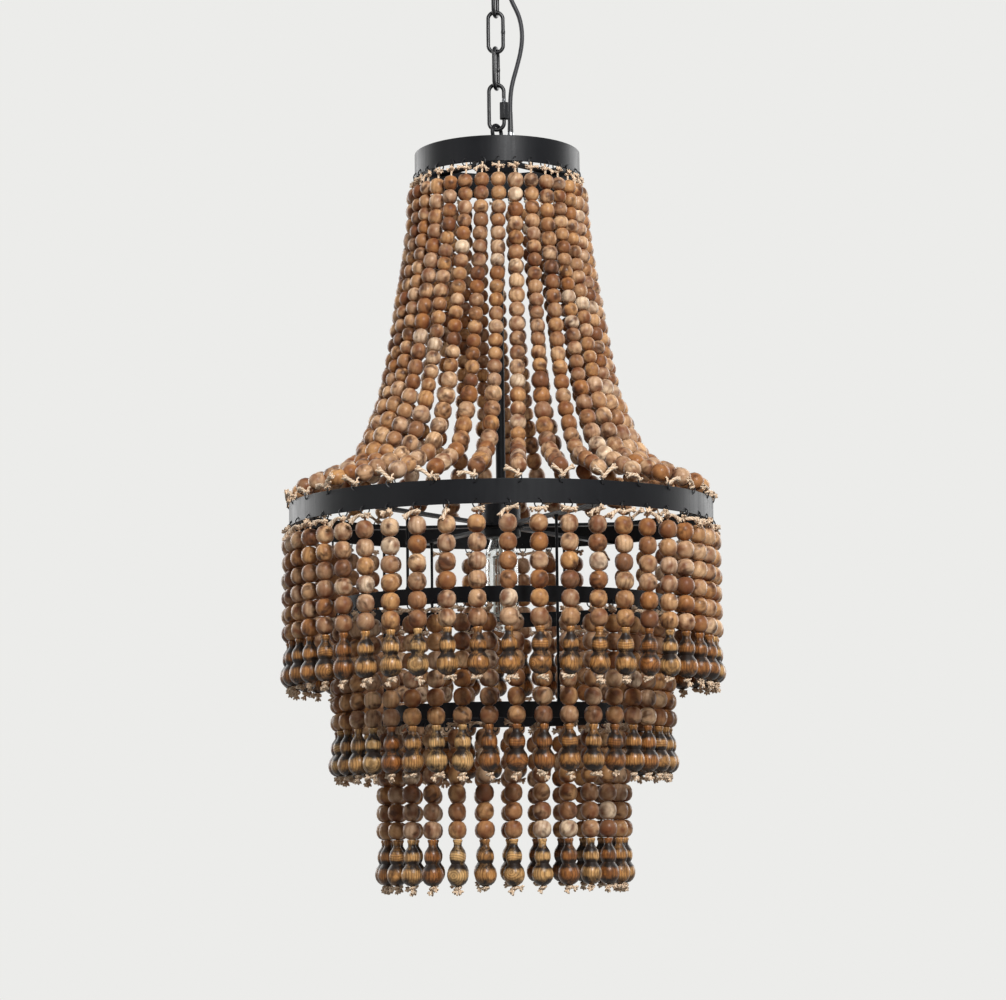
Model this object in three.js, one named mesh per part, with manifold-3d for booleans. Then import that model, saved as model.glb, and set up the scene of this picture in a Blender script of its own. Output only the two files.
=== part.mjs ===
// Beaded chandelier: black steel hoops on a short chain, dressed with strings of turned wooden beads.
// Millimetres, +Z up. The origin is the middle of the ceiling bracket's top face, and the front is -Y.
import * as THREE from "three";
import { mergeVertices } from "three/addons/utils/BufferGeometryUtils.js";
import Module from "manifold-3d";

const wasm = await Module();
wasm.setup();

// Clearances
const seatGap = 0.3; // left between two pieces that touch
const cableEndGap = 0.05; // left between the cable's end and the lampholder
const cutOverrun = 2; // how far a cutting tool runs past the face it cuts
const weldGap = 1e-4; // points closer than this are one point

// Ceiling fitting
const bracketLength = 84;
const bracketWidth = 20;
const bracketThickness = 3;
const screwHoleRadius = 2.2;
const screwHoleSpacing = 76;
const bossRadius = 8;
const bossDepth = 9;
const roseRimRadius = 55;
const roseFloorRadius = 46;
const roseBandDepth = 10; // the straight side under the ceiling
const roseDepth = 28;
const roseWall = 1.6;
const terminalLength = 20;
const terminalWidth = 12;
const terminalHeight = 9;
const gripOffset = 18; // cable entry, beside the hook
const gripRadius = 5.5;
const gripFlange = 7.5;
const gripFlangeDepth = 2.5;
const gripDrop = 8; // below the rose
const gripRise = 14; // inside the rose
const hookStemRadius = 3;
const hookCollarRadius = 7;
const hookCollarDepth = 3;
const hookNeck = 2.1;
const hookWireRadius = 2.5;
const hookRingRadius = 10.5;

// Chain, screw link and cable
const linkCount = 3;
const linkWireRadius = 2.1;
const linkHalfWidth = 7.9; // wire centre to axis
const linkSpan = 43.9; // between the centres of the two end arches
const linkTwist = 16; // degrees that every other link stands turned from square to its neighbours
const quickLinkSpan = 49.1;
const sleeveRadius = 5.2; // across the corners of the screw sleeve
const sleeveLength = 17.3;
const sleeveLift = 20.4; // bottom arch to the middle of the sleeve
const quickLinkSplit = 3; // the opening that the sleeve closes
const cableRadius = 2.4;

// Hub under the chain
const eyeTurn = -35; // degrees that the eye stands turned from side-on
const eyeWireRadius = 2.25;
const eyeRingRadius = 8;
const eyeStemRadius = 3;
const eyeCollarRadius = 5.5;
const eyeCollarDepth = 3;
const hubRadius = 22;
const hubHeight = 37;
const hubLid = 3;
const hubWall = 2;
const hubFloor = 5;
const hubLip = 2.6; // ledge that carries the top spider
const hubLipDepth = 2;
const hubAboveBand = 12.5;
const glandRadius = 4.6;
const glandHeight = 10;
const cableEntryX = 14.5;
const cableEntryY = 6;

// Hoops, named from the top down
const topBandRadius = 87;
const topBandHeight = 27;
const mainBandRadius = 220;
const mainBandHeight = 24;
const ringTwoRadius = 170.5;
const ringThreeRadius = 123.5;
const ringHeight = 16;
const bandThickness = 2;
const topBandSides = 32;
const mainBandSides = 56;
const ringTwoSides = 44;
const ringThreeSides = 36;
const swagDrop = 344.8; // top band's lower edge to main band's upper edge
const ringTwoDrop = 75.5; // main band's lower edge to ring two's upper edge
const ringThreeDrop = 94.7; // ring two's lower edge to ring three's upper edge
const armThickness = 3;
const armWidth = 10;
const collarWidth = 5; // ring of each spider around its hub
const topArmInset = 4; // below the top band's upper edge
const topArmCount = 4;
const mainArmCount = 6;
const armPhase = -33.2; // degrees from the front
const rodRadius = 1.5;
const rodCount = 3; // rods to each lower ring

// Central tube and lamp
const tubeRadius = 5;
const tubeBore = 3.7;
const tubeInHub = 1; // tube's end above the hub's floor
const tubeInCup = 8;
const cupRadius = 20;
const cupHeight = 34;
const cupWall = 1.5;
const cupLip = 2.5;
const cupLipDepth = 1.7;
const lockNutRadius = 9.5;
const lockNutHeight = 5;
const insertWall = 4.5;
const insertProud = 1; // holder's lower edge below the cup
const capRadius = 13.4; // lamp cap
const capDepth = 23.7;
const capProud = 1;
const capNeckDepth = 12; // glass held inside the cap
const contactRadius = 4.5;
const capWall = 1;
const lampSides = 16;
const glassRadius = 17;
const glassWall = 1;
const glassShoulder = 16;
const glassLength = 97;
const filamentCage = 8;
const filamentWire = 0.7;
const filamentHub = 10;
const filamentTop = 18; // cap's edge to the cage's upper disc
const filamentLength = 62;
const filamentCount = 4;
const stemRadius = 2.2;

// Strings of beads
const beadRadius = 9.25;
const beadPitch = 18.1;
const beadsPerDrop = 6;
const beadWaist = 3.4; // where two beads meet
const knotRadius = 2.4;
const knotHeight = 2.4;
const knotDrop = 7.5; // hoop's edge to the knot
const firstBeadDrop = 10.3; // hoop's edge to the first bead
const finialLength = 45.8;
const finialNeckRadius = 4;
const finialRadius = 11.2;
const tailLength = 12.5;
const swagBeadTop = 7.6; // bead radius under the top band
const swagBeadFoot = 9.1; // bead radius at the main band
const swagCount = 32;
const swagPhase = 4.5; // degrees from the front
const swagSkew = 7.9; // degrees that the top of a swag stands round from its foot
const swagsPerGroup = 8;
const swingOut = 14; // degrees that a hanging group swings outwards
const swingIn = 3; // and inwards, where its neighbours close up

// Each tier: its hoop, the strings in each hinged group, and the first string's place from the front.
const tiers = [
  { name: "tier_one", groups: [6, 6, 6, 5, 6, 6, 6, 5], phase: 1.7, hoop: mainBandRadius },
  { name: "tier_two", groups: [5, 5, 5, 5, 5, 5, 5, 5], phase: 4.3, hoop: ringTwoRadius },
  { name: "tier_three", groups: [5, 4, 5, 4, 5, 4], phase: 4.2, hoop: ringThreeRadius },
];

// Shares of the way out and of the way down from the top band to the main band, for the line of a swag.
const swagLineShares = [
  [0.011, 0.05],
  [0.063, 0.244],
  [0.18, 0.523],
  [0.286, 0.709],
  [0.436, 0.846],
  [0.692, 0.924],
  [0.97, 0.969],
];
const finialBellyShare = 0.72; // height of the widest place, down the finial
const finialNeckShare = 0.12;

// Heights, from the ceiling down
const hookCollarTop = -roseDepth - seatGap;
const hookCentre = hookCollarTop - hookCollarDepth - hookNeck - hookRingRadius;
const hookWireZ = hookCentre - hookRingRadius;
const linkTops = [];
for (let i = 0; i < linkCount; i++) {
  const carrier = i ? linkTops[i - 1] - linkSpan + linkWireRadius : hookWireZ + hookWireRadius;
  linkTops.push(carrier + seatGap + linkWireRadius);
}
const lastLinkFoot = linkTops[linkCount - 1] - linkSpan;
const quickLinkTop = lastLinkFoot + 2 * linkWireRadius + seatGap;
const quickLinkFoot = quickLinkTop - quickLinkSpan;
const eyeTop = quickLinkFoot + linkWireRadius + seatGap + eyeWireRadius;
const eyeCentre = eyeTop - eyeRingRadius;
const eyeFoot = eyeCentre - eyeRingRadius;
const hubTop = eyeFoot - eyeCollarDepth - seatGap;
const topBandTop = hubTop - hubAboveBand;
const topBandFoot = topBandTop - topBandHeight;
const mainBandTop = topBandFoot - swagDrop;
const mainBandFoot = mainBandTop - mainBandHeight;
const ringTwoTop = mainBandFoot - ringTwoDrop;
const ringTwoFoot = ringTwoTop - ringHeight;
const ringThreeTop = ringTwoFoot - ringThreeDrop;
const ringThreeFoot = ringThreeTop - ringHeight;
const topArmTop = topBandTop - topArmInset;
const mainArmFoot = mainBandFoot;
const mainArmTop = mainArmFoot + armThickness;
const hubFoot = hubTop - hubHeight;
const cupTop = mainBandTop;
const cupFoot = cupTop - cupHeight;
const tubeTop = hubFoot + hubFloor + tubeInHub;
const tubeFoot = cupTop - tubeInCup;
const insertTop = tubeFoot - 2 * seatGap;
const insertFoot = cupFoot - insertProud;
const capFoot = insertFoot - capProud;
const capTop = capFoot + capDepth;
const glassFoot = capFoot - glassLength;
const tierEdges = [mainBandFoot, ringTwoFoot, ringThreeFoot];

const radians = THREE.MathUtils.degToRad;

// The direction at so many degrees from the front, towards +X.
function facing(degrees) {
  return new THREE.Vector3(Math.sin(radians(degrees)), -Math.cos(radians(degrees)), 0);
}

function solidOf(geometry) {
  const bare = geometry.index ? geometry.toNonIndexed() : geometry.clone();
  for (const name of ["normal", "uv"]) bare.deleteAttribute(name);
  const merged = mergeVertices(bare, weldGap);
  return new wasm.Manifold(
    new wasm.Mesh({
      numProp: 3,
      vertProperties: merged.attributes.position.array,
      triVerts: new Uint32Array(merged.index.array),
    }),
  );
}

function geometryOf(solid) {
  const mesh = solid.getMesh();
  const geometry = new THREE.BufferGeometry();
  geometry.setAttribute("position", new THREE.BufferAttribute(mesh.vertProperties, 3));
  geometry.setIndex(new THREE.BufferAttribute(mesh.triVerts, 1));
  return geometry;
}

function joined(first, ...others) {
  return geometryOf(others.reduce((sum, other) => sum.add(solidOf(other)), solidOf(first)));
}

function cut(first, ...tools) {
  return geometryOf(tools.reduce((rest, tool) => rest.subtract(solidOf(tool)), solidOf(first)));
}

// A turned piece about the Z axis, from [radius, height] points listed down the outside.
function turned(points, segments) {
  const profile = points.map(([radius, height]) => new THREE.Vector2(radius, height));
  return new THREE.LatheGeometry(profile.reverse(), segments).rotateX(Math.PI / 2);
}

// A turned piece with a hole: the outline goes down the outside and comes back up the inside.
function turnedShell(points, segments) {
  return turned([...points, points[0]], segments);
}

function hoop(outerRadius, top, foot, thickness, segments) {
  const inner = outerRadius - thickness;
  const outline = [
    [inner, top],
    [outerRadius, top],
    [outerRadius, foot],
    [inner, foot],
  ];
  return turnedShell(outline, segments);
}

function upright(radius, top, foot, segments) {
  const height = top - foot;
  return new THREE.CylinderGeometry(radius, radius, height, segments)
    .rotateX(Math.PI / 2)
    .translate(0, 0, foot + height / 2);
}

// A ring of points across a line: `along` is the line's way, `across` one direction square to it, and
// `start` the angle of the first point from there.
function ringAt(centre, along, across, radius, sides, start = 0) {
  const other = new THREE.Vector3().crossVectors(along, across).normalize();
  return Array.from({ length: sides }, (_, k) => {
    const turn = start + (2 * Math.PI * k) / sides;
    return centre
      .clone()
      .addScaledVector(across, radius * Math.cos(turn))
      .addScaledVector(other, radius * Math.sin(turn));
  });
}

function quad(a, b, c, d) {
  return [a, b, c, a, c, d];
}

// The triangles of a skin over rings of points, run round to its start.
function loopSkin(rings) {
  return rings.flatMap((here, i) => {
    const next = rings[(i + 1) % rings.length];
    return here.flatMap((point, k) => {
      const m = (k + 1) % here.length;
      return quad(point, here[m], next[m], next[k]);
    });
  });
}

// The same with a tip at each end, and some sides of the first stretch left open.
function tippedSkin(rings, tips, open) {
  const sides = rings[0].length;
  const corners = [];
  for (let k = 0; k < sides; k++) {
    const m = (k + 1) % sides;
    corners.push(tips[0], rings[0][m], rings[0][k]);
    for (let i = 1; i < rings.length; i++) {
      if (i === 1 && open.includes(k)) continue;
      corners.push(...quad(rings[i - 1][k], rings[i - 1][m], rings[i][m], rings[i][k]));
    }
    corners.push(tips[1], rings[rings.length - 1][k], rings[rings.length - 1][m]);
  }
  return corners;
}

// Round wire bent into a flat closed loop in the X-Z plane, a slot shape of the given span.
function wireLoop(halfWidth, span, wireRadius, archSteps, sides) {
  const straight = span / 2 - halfWidth;
  const centres = [];
  for (const end of [1, -1]) {
    for (let i = 0; i <= archSteps; i++) {
      const turn = (Math.PI * i) / archSteps + (end > 0 ? 0 : Math.PI);
      const rise = halfWidth * Math.sin(turn) + end * straight;
      centres.push(new THREE.Vector3(halfWidth * Math.cos(turn), 0, rise));
    }
  }
  if (straight <= 0) centres.splice(archSteps, 1);
  if (straight <= 0) centres.pop();
  const across = new THREE.Vector3(0, 1, 0);
  const rings = centres.map((centre, i) => {
    const before = centres[(i + centres.length - 1) % centres.length];
    const after = centres[(i + 1) % centres.length];
    const along = new THREE.Vector3().subVectors(after, before).normalize();
    return ringAt(centre, along, across, wireRadius, sides);
  });
  return new THREE.BufferGeometry().setFromPoints(loopSkin(rings));
}

function cableAlong(points, radius, steps) {
  const section = new THREE.Shape();
  const sides = 8;
  for (let k = 0; k < sides; k++) {
    const turn = (2 * Math.PI * k) / sides;
    const [x, y] = [radius * Math.cos(turn), radius * Math.sin(turn)];
    if (k) section.lineTo(x, y);
    else section.moveTo(x, y);
  }
  const path = new THREE.CatmullRomCurve3(points.map((point) => new THREE.Vector3(...point)));
  return new THREE.ExtrudeGeometry(section, { steps, extrudePath: path });
}

// A cable that is held all the way, with one ring of its skin at each of its points.
function heldCable(points, radius) {
  const centres = points.map((point) => new THREE.Vector3(...point));
  const last = centres.length - 1;
  const across = new THREE.Vector3(cableEntryY, -cableEntryX, 0).normalize();
  const rings = centres.map((centre, i) => {
    const before = centres[Math.max(i - 1, 0)];
    const after = centres[Math.min(i + 1, last)];
    const along = new THREE.Vector3().subVectors(after, before).normalize();
    return ringAt(centre, along, across, radius, 8);
  });
  return new THREE.BufferGeometry().setFromPoints(tippedSkin(rings, [centres[0], centres[last]], []));
}

const finishes = {
  blackSteel: { color: 0x1e1f22, roughness: 0.42, metalness: 0.6 },
  blackChain: { color: 0x17181a, roughness: 0.34, metalness: 0.8 },
  zinc: { color: 0xc4c6c8, roughness: 0.3, metalness: 1 },
  blackRubber: { color: 0x16171a, roughness: 0.6, metalness: 0 },
  bakelite: { color: 0x101113, roughness: 0.4, metalness: 0 },
  nylon: { color: 0xe6e2d8, roughness: 0.55, metalness: 0 },
  glass: { color: 0xf2f4f2, roughness: 0.05, metalness: 0, transparent: true, opacity: 0.35 },
  filament: { color: 0xb08a4a, roughness: 0.4, metalness: 0.7 },
  wood: { color: 0xb98a5e, roughness: 0.45, metalness: 0 },
};

const chandelier = new THREE.Group();

function section(name) {
  const group = new THREE.Group();
  group.name = name;
  chandelier.add(group);
  return group;
}

function place(parent, name, geometry, finish) {
  geometry.computeVertexNormals();
  const mesh = new THREE.Mesh(geometry, new THREE.MeshStandardMaterial(finishes[finish]));
  mesh.name = name;
  parent.add(mesh);
  return mesh;
}

// The plate that two screws hold to the ceiling, with the boss that the hook stands in.
function ceilingBracket() {
  const plate = new THREE.BoxGeometry(bracketLength, bracketWidth, bracketThickness);
  plate.translate(0, 0, -bracketThickness / 2);
  const bossFoot = -bracketThickness - bossDepth;
  const boss = upright(bossRadius, -bracketThickness / 2, bossFoot, 12);
  const hole = upright(hookStemRadius + seatGap, -bracketThickness, bossFoot - cutOverrun, 12);
  const screwHoles = [-1, 1].map((end) =>
    upright(screwHoleRadius, cutOverrun, -bracketThickness - cutOverrun, 8).translate(
      (end * screwHoleSpacing) / 2,
      0,
      0,
    ),
  );
  return cut(joined(plate, boss), hole, ...screwHoles);
}

// The cup that hides the ceiling box: open at the top, with holes for the hook and the cable grip.
function ceilingRose() {
  const stemHole = hookStemRadius + seatGap;
  const bowl = turnedShell(
    [
      [roseRimRadius - roseWall, 0],
      [roseRimRadius, 0],
      [roseRimRadius, -roseBandDepth],
      [roseFloorRadius, -roseDepth],
      [stemHole, -roseDepth],
      [stemHole, -roseDepth + roseWall],
      [roseFloorRadius - roseWall, -roseDepth + roseWall],
      [roseRimRadius - roseWall, -roseBandDepth],
    ],
    24,
  );
  const holeTop = -roseDepth + roseWall + cutOverrun;
  const gripHole = upright(gripRadius + seatGap, holeTop, -roseDepth - cutOverrun, 10);
  return cut(bowl, gripHole.translate(gripOffset, 0, 0));
}

function cableGrip() {
  const flangeTop = -roseDepth - seatGap;
  return turned(
    [
      [0, flangeTop + gripRise],
      [gripRadius, flangeTop + gripRise],
      [gripRadius, flangeTop],
      [gripFlange, flangeTop],
      [gripFlange, flangeTop - gripFlangeDepth],
      [gripRadius, -roseDepth - gripDrop],
      [0, -roseDepth - gripDrop],
    ],
    10,
  );
}

function ceilingHook() {
  const stem = upright(hookStemRadius, -bracketThickness - seatGap, hookCentre + hookRingRadius, 10);
  const collar = upright(hookCollarRadius, hookCollarTop, hookCollarTop - hookCollarDepth, 10);
  const ring = wireLoop(hookRingRadius, 2 * hookRingRadius, hookWireRadius, 8, 6);
  return joined(stem, collar, ring.translate(0, 0, hookCentre));
}

function chainLink() {
  return wireLoop(linkHalfWidth, linkSpan, linkWireRadius, 6, 6);
}

// The screw link: its right leg is split, and the sleeve closes the split.
function quickLink() {
  const loop = wireLoop(linkHalfWidth, quickLinkSpan, linkWireRadius, 8, 6);
  const split = new THREE.BoxGeometry(linkHalfWidth, linkHalfWidth, quickLinkSplit);
  return cut(loop, split.translate(linkHalfWidth, 0, sleeveLift - quickLinkSpan / 2));
}

function hexNut(radius, bore, top, foot) {
  return cut(upright(radius, top, foot, 6), upright(bore, top + cutOverrun, foot - cutOverrun, 10));
}

function screwSleeve() {
  return hexNut(sleeveRadius, linkWireRadius + seatGap, sleeveLength / 2, -sleeveLength / 2);
}

function topEye() {
  const ring = wireLoop(eyeRingRadius, 2 * eyeRingRadius, eyeWireRadius, 8, 6);
  const collar = upright(eyeCollarRadius, eyeFoot, eyeFoot - eyeCollarDepth, 10);
  const stem = upright(eyeStemRadius, eyeFoot, hubTop - hubLid, 10);
  return joined(ring.rotateZ(radians(90 + eyeTurn)).translate(0, 0, eyeCentre), collar, stem);
}

// The hollow canister under the eye, where the cable turns into the central tube.
function hubCanister() {
  const inner = hubRadius - hubWall;
  const stemHole = eyeStemRadius + seatGap;
  const tubeHole = tubeRadius + seatGap;
  const lipTop = topArmTop - armThickness - seatGap;
  const body = turnedShell(
    [
      [stemHole, hubTop],
      [hubRadius, hubTop],
      [hubRadius, lipTop],
      [hubRadius + hubLip, lipTop],
      [hubRadius + hubLip, lipTop - hubLipDepth],
      [hubRadius, lipTop - hubLipDepth],
      [hubRadius, hubFoot],
      [tubeHole, hubFoot],
      [tubeHole, hubFoot + hubFloor],
      [inner, hubFoot + hubFloor],
      [inner, hubTop - hubLid],
      [stemHole, hubTop - hubLid],
    ],
    16,
  );
  const entry = upright(cableRadius + 2 * seatGap, hubTop + cutOverrun, hubTop - hubLid - cutOverrun, 8);
  return cut(body, entry.translate(cableEntryX, cableEntryY, 0));
}

function cableGland() {
  const bore = cableRadius + seatGap;
  const body = hoop(glandRadius, hubTop + seatGap + glandHeight, hubTop + seatGap, glandRadius - bore, 8);
  return body.translate(cableEntryX, cableEntryY, 0);
}

// A collar round the hub with flat arms out to a hoop.
function spider(boreRadius, reach, top, count, phase) {
  const foot = top - armThickness;
  const collar = hoop(boreRadius + collarWidth, top, foot, collarWidth, 16);
  const start = boreRadius + collarWidth / 2;
  const arms = Array.from({ length: count }, (_, i) => {
    const arm = new THREE.BoxGeometry(armWidth, reach - start, armThickness);
    arm.translate(0, -(reach + start) / 2, top - armThickness / 2);
    return arm.rotateZ(radians(phase + (360 * i) / count));
  });
  return joined(collar, ...arms);
}

// How far an arm reaches inside a hoop made of so many flats, its own corners included.
function armReach(hoopRadius, sides) {
  const flat = (hoopRadius - bandThickness) * Math.cos(Math.PI / sides) - seatGap;
  return Math.sqrt(flat ** 2 - (armWidth / 2) ** 2);
}

function centralTube() {
  return hoop(tubeRadius, tubeTop, tubeFoot, tubeRadius - tubeBore, 10);
}

// The steel cup round the lamp: it hangs on the lock nut, and its lip carries the main spider.
function lampCup() {
  const inner = cupRadius - cupWall;
  const tubeHole = tubeRadius + seatGap;
  const lipTop = mainArmFoot - seatGap;
  return turnedShell(
    [
      [tubeHole, cupTop],
      [cupRadius, cupTop],
      [cupRadius, lipTop],
      [cupRadius + cupLip, lipTop],
      [cupRadius + cupLip, lipTop - cupLipDepth],
      [cupRadius, lipTop - cupLipDepth],
      [cupRadius, cupFoot],
      [inner, cupFoot],
      [inner, cupTop - cupWall],
      [tubeHole, cupTop - cupWall],
    ],
    16,
  );
}

function lockNut() {
  const top = cupTop - cupWall - seatGap;
  return hexNut(lockNutRadius, tubeRadius + seatGap, top, top - lockNutHeight);
}

function lampholderInsert() {
  const outer = cupRadius - cupWall - seatGap;
  const socket = outer - insertWall;
  const socketTop = capTop + seatGap;
  return turned(
    [
      [0, insertTop],
      [outer, insertTop],
      [outer, insertFoot],
      [socket, insertFoot],
      [socket, socketTop],
      [0, socketTop],
    ],
    lampSides,
  );
}

function lampCap() {
  const neck = capRadius - capWall;
  return turned(
    [
      [0, capTop],
      [contactRadius, capTop],
      [capRadius, capTop - contactRadius],
      [capRadius, capFoot],
      [neck, capFoot],
      [neck, capFoot + capNeckDepth],
      [0, capFoot + capNeckDepth],
    ],
    lampSides,
  );
}

// A clear tube: narrow where the cap holds it, with a shoulder and a domed end.
function bulbGlass() {
  const neck = capRadius - capWall - seatGap;
  const inner = glassRadius - glassWall;
  const neckTop = capFoot + capNeckDepth - seatGap;
  const shoulderZ = capFoot - glassShoulder;
  const domeTop = glassFoot + glassRadius;
  const dome = (radius) =>
    [0, 30, 60].map((turn) => {
      const angle = radians(turn);
      return [radius * Math.cos(angle), domeTop - radius * Math.sin(angle)];
    });
  const outside = [[neck, neckTop], [neck, capFoot], [glassRadius, shoulderZ], ...dome(glassRadius)];
  const innerNeck = neck - glassWall;
  const inside = [[innerNeck, neckTop], [innerNeck, capFoot], [inner, shoulderZ], ...dome(inner)];
  const tips = [
    [0, glassFoot],
    [0, glassFoot + glassWall],
  ];
  return turnedShell([...outside, ...tips, ...inside.reverse()], lampSides);
}

// The glass mount with its two discs and the upright wires between them.
function bulbFilament() {
  const mountTop = capFoot + capNeckDepth - seatGap;
  const cageTop = capFoot - filamentTop;
  const cageFoot = cageTop - filamentLength;
  const post = upright(stemRadius, mountTop, cageFoot - filamentWire, 6);
  const discs = [cageTop, cageFoot].map((z) => upright(filamentHub, z, z - 2 * filamentWire, 8));
  const wires = Array.from({ length: filamentCount }, (_, i) => {
    const out = facing((360 * i) / filamentCount).multiplyScalar(filamentCage);
    return upright(filamentWire, cageTop, cageFoot - filamentWire, 4).translate(out.x, out.y, 0);
  });
  return joined(post, ...discs, ...wires);
}

// The rings and tips of one string: its knot, which the ties of its group meet, and what hangs below it.
function stringAt(out, tips, knot, beads) {
  const side = new THREE.Vector3(0, 0, 1).cross(out);
  const knotRings = [knotHeight / 2, -knotHeight / 2].map((rise) => {
    const centre = knot.clone().setZ(knot.z + rise);
    return ringAt(centre, new THREE.Vector3(0, 0, -1), side, knotRadius, 4, Math.PI / 4);
  });
  const rings = beads.map(({ centre, along, radius }) => ringAt(centre, along, side, radius, 4));
  return { tips, rings: [...knotRings, ...rings] };
}

// Strings side by side as one solid, each tied to the next by a short cord from knot to knot.
function tiedStrings(strings) {
  const last = strings.length - 1;
  const corners = strings.flatMap(({ rings, tips }, i) => {
    const open = [i > 0 && 1, i < last && 3];
    return tippedSkin(rings, tips, open);
  });
  for (let i = 0; i < last; i++) {
    const [upper, lower] = strings[i].rings;
    const [nextUpper, nextLower] = strings[i + 1].rings;
    const near = [upper[3], upper[0], lower[0], lower[3]];
    const far = [nextUpper[2], nextUpper[1], nextLower[1], nextLower[2]];
    for (let k = 0; k < near.length; k++) {
      const m = (k + 1) % near.length;
      corners.push(...quad(near[k], near[m], far[m], far[k]));
    }
  }
  return new THREE.BufferGeometry().setFromPoints(corners);
}

// One hanging string, below a hoop's lower edge: a knot, six beads, a turned finial and a tail. `room` is
// what it keeps clear of the edge, beyond the seat.
function drop(degrees, radius, edge, room) {
  const out = facing(degrees);
  const at = (z) => out.clone().multiplyScalar(radius).setZ(z);
  const beadsTop = edge - firstBeadDrop;
  const finialTop = beadsTop - beadsPerDrop * beadPitch;
  const stations = [];
  for (let i = 0; i < beadsPerDrop; i++) {
    stations.push([beadRadius, beadsTop - (i + 1 / 2) * beadPitch]);
    if (i < beadsPerDrop - 1) stations.push([beadWaist, beadsTop - (i + 1) * beadPitch]);
  }
  stations.push([finialNeckRadius, finialTop - finialNeckShare * finialLength]);
  stations.push([finialRadius, finialTop - finialBellyShare * finialLength]);
  const along = new THREE.Vector3(0, 0, -1);
  const beads = stations.map(([size, z]) => ({ centre: at(z), along, radius: size }));
  const tips = [at(edge - seatGap - room), at(finialTop - finialLength - tailLength)];
  return stringAt(out, tips, at(edge - knotDrop), beads);
}

// The strings of a group swing together about a straight line at their mean distance from the axis, so one
// that hangs outside that line rises as they swing out, and one inside it rises as they swing in.
function dropGroup(radius, edge, step, count, middle) {
  const turns = Array.from({ length: count }, (_, i) => step * (i - (count - 1) / 2));
  const reaches = turns.map((turn) => radius * Math.cos(radians(turn)));
  const hinge = reaches.reduce((sum, reach) => sum + reach, 0) / count;
  const strings = turns.map((turn, i) => {
    const beyond = reaches[i] - hinge;
    const room = Math.max(beyond * Math.sin(radians(swingOut)), -beyond * Math.sin(radians(swingIn)));
    return drop(middle + turn, radius, edge, room);
  });
  return tiedStrings(strings);
}

// One swag: beads on a sagging cord from the top band's lower edge out to the main band's upper edge.
function swag(degrees) {
  const out = facing(degrees + swagSkew);
  const start = out.clone().multiplyScalar(topBandRadius - bandThickness / 2).setZ(topBandFoot - seatGap);
  const end = facing(degrees).multiplyScalar(mainBandRadius - bandThickness / 2).setZ(mainBandTop + seatGap);
  const at = ([outShare, downShare]) => {
    const place = new THREE.Vector3().lerpVectors(start, end, outShare);
    return place.setZ(start.z + (end.z - start.z) * downShare);
  };
  const tips = [at([0, 0]), at([1, 1])];
  const knot = at([0, 0]).setZ(topBandFoot - knotDrop);
  const centres = swagLineShares.map(at);
  const beads = centres.map((centre, i) => {
    const before = i ? centres[i - 1] : knot;
    const after = i < centres.length - 1 ? centres[i + 1] : tips[1];
    const along = new THREE.Vector3().subVectors(after, before).normalize();
    const share = i / (centres.length - 1);
    return { centre, along, radius: swagBeadTop + (swagBeadFoot - swagBeadTop) * share };
  });
  return stringAt(out, tips, knot, beads);
}

function swagGroup(first, count) {
  const step = 360 / swagCount;
  return tiedStrings(Array.from({ length: count }, (_, i) => swag(swagPhase + (first + i) * step)));
}

// The free stretch of the cable, from the grip to the gland: a hand-chosen line beside the chain.
const cablePoints = [
  [18, 0, -36.3],
  [18, 0, -43],
  [17.2, 0.3, -50],
  [15.8, 0.8, -57],
  [15, 1.4, -64],
  [15.8, 2, -70.5],
  [18.2, 2.6, -77.5],
  [21.8, 3.2, -85],
  [25, 3.7, -93],
  [27.1, 4.2, -102],
  [28, 4.6, -112],
  [27.6, 5, -122],
  [26, 5.4, -132],
  [23.6, 5.7, -142],
  [20.8, 5.9, -152],
  [18, 6, -162],
  [15.9, 6, -172],
  [14.8, 6, -183],
  [14.5, 6, -196],
  [14.5, 6, -208],
  [14.5, 6, -220.8],
];

// The rest of it is held all the way, so its route follows what holds it: through the gland and the hub, as shares of
// the gland's offsets and of the hub's height, and down the tube to the lampholder, as shares of the tube.
const hubRouteShares = [
  [0.993103, 0.991667, 0.068919],
  [0.896552, 0.9, 0.231081],
  [0.682759, 0.683333, 0.393243],
  [0.413793, 0.416667, 0.528378],
  [0.17931, 0.183333, 0.663514],
  [0.041379, 0.041667, 0.785135],
  [0, 0, 0.906757],
];
const tubeRouteShares = [0.10393, 0.436064, 0.768198];
const glandRouteShare = 0.345;
const innerCablePoints = [
  [cableEntryX, cableEntryY, hubTop + glandHeight - seatGap / 2],
  [cableEntryX, cableEntryY, hubTop + glandHeight * glandRouteShare],
  ...hubRouteShares.map(([x, y, down]) => [cableEntryX * x, cableEntryY * y, hubTop - hubHeight * down]),
  ...tubeRouteShares.map((down) => [0, 0, tubeTop + (tubeFoot - tubeTop) * down]),
  [0, 0, insertTop + cableEndGap],
];

const ceilingFitting = section("ceiling_fitting");
place(ceilingFitting, "ceiling_bracket", ceilingBracket(), "zinc");
place(ceilingFitting, "ceiling_rose", ceilingRose(), "blackSteel");
place(ceilingFitting, "ceiling_hook", ceilingHook(), "blackChain");
place(ceilingFitting, "cable_grip", cableGrip(), "blackRubber").position.x = gripOffset;
const terminals = new THREE.BoxGeometry(terminalLength, terminalWidth, terminalHeight);
const terminalBlock = place(ceilingFitting, "terminal_block", terminals, "nylon");
terminalBlock.position.x = -(bossRadius + bracketLength / 2) / 2;
terminalBlock.position.z = -bracketThickness - seatGap - terminalHeight / 2;

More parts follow.
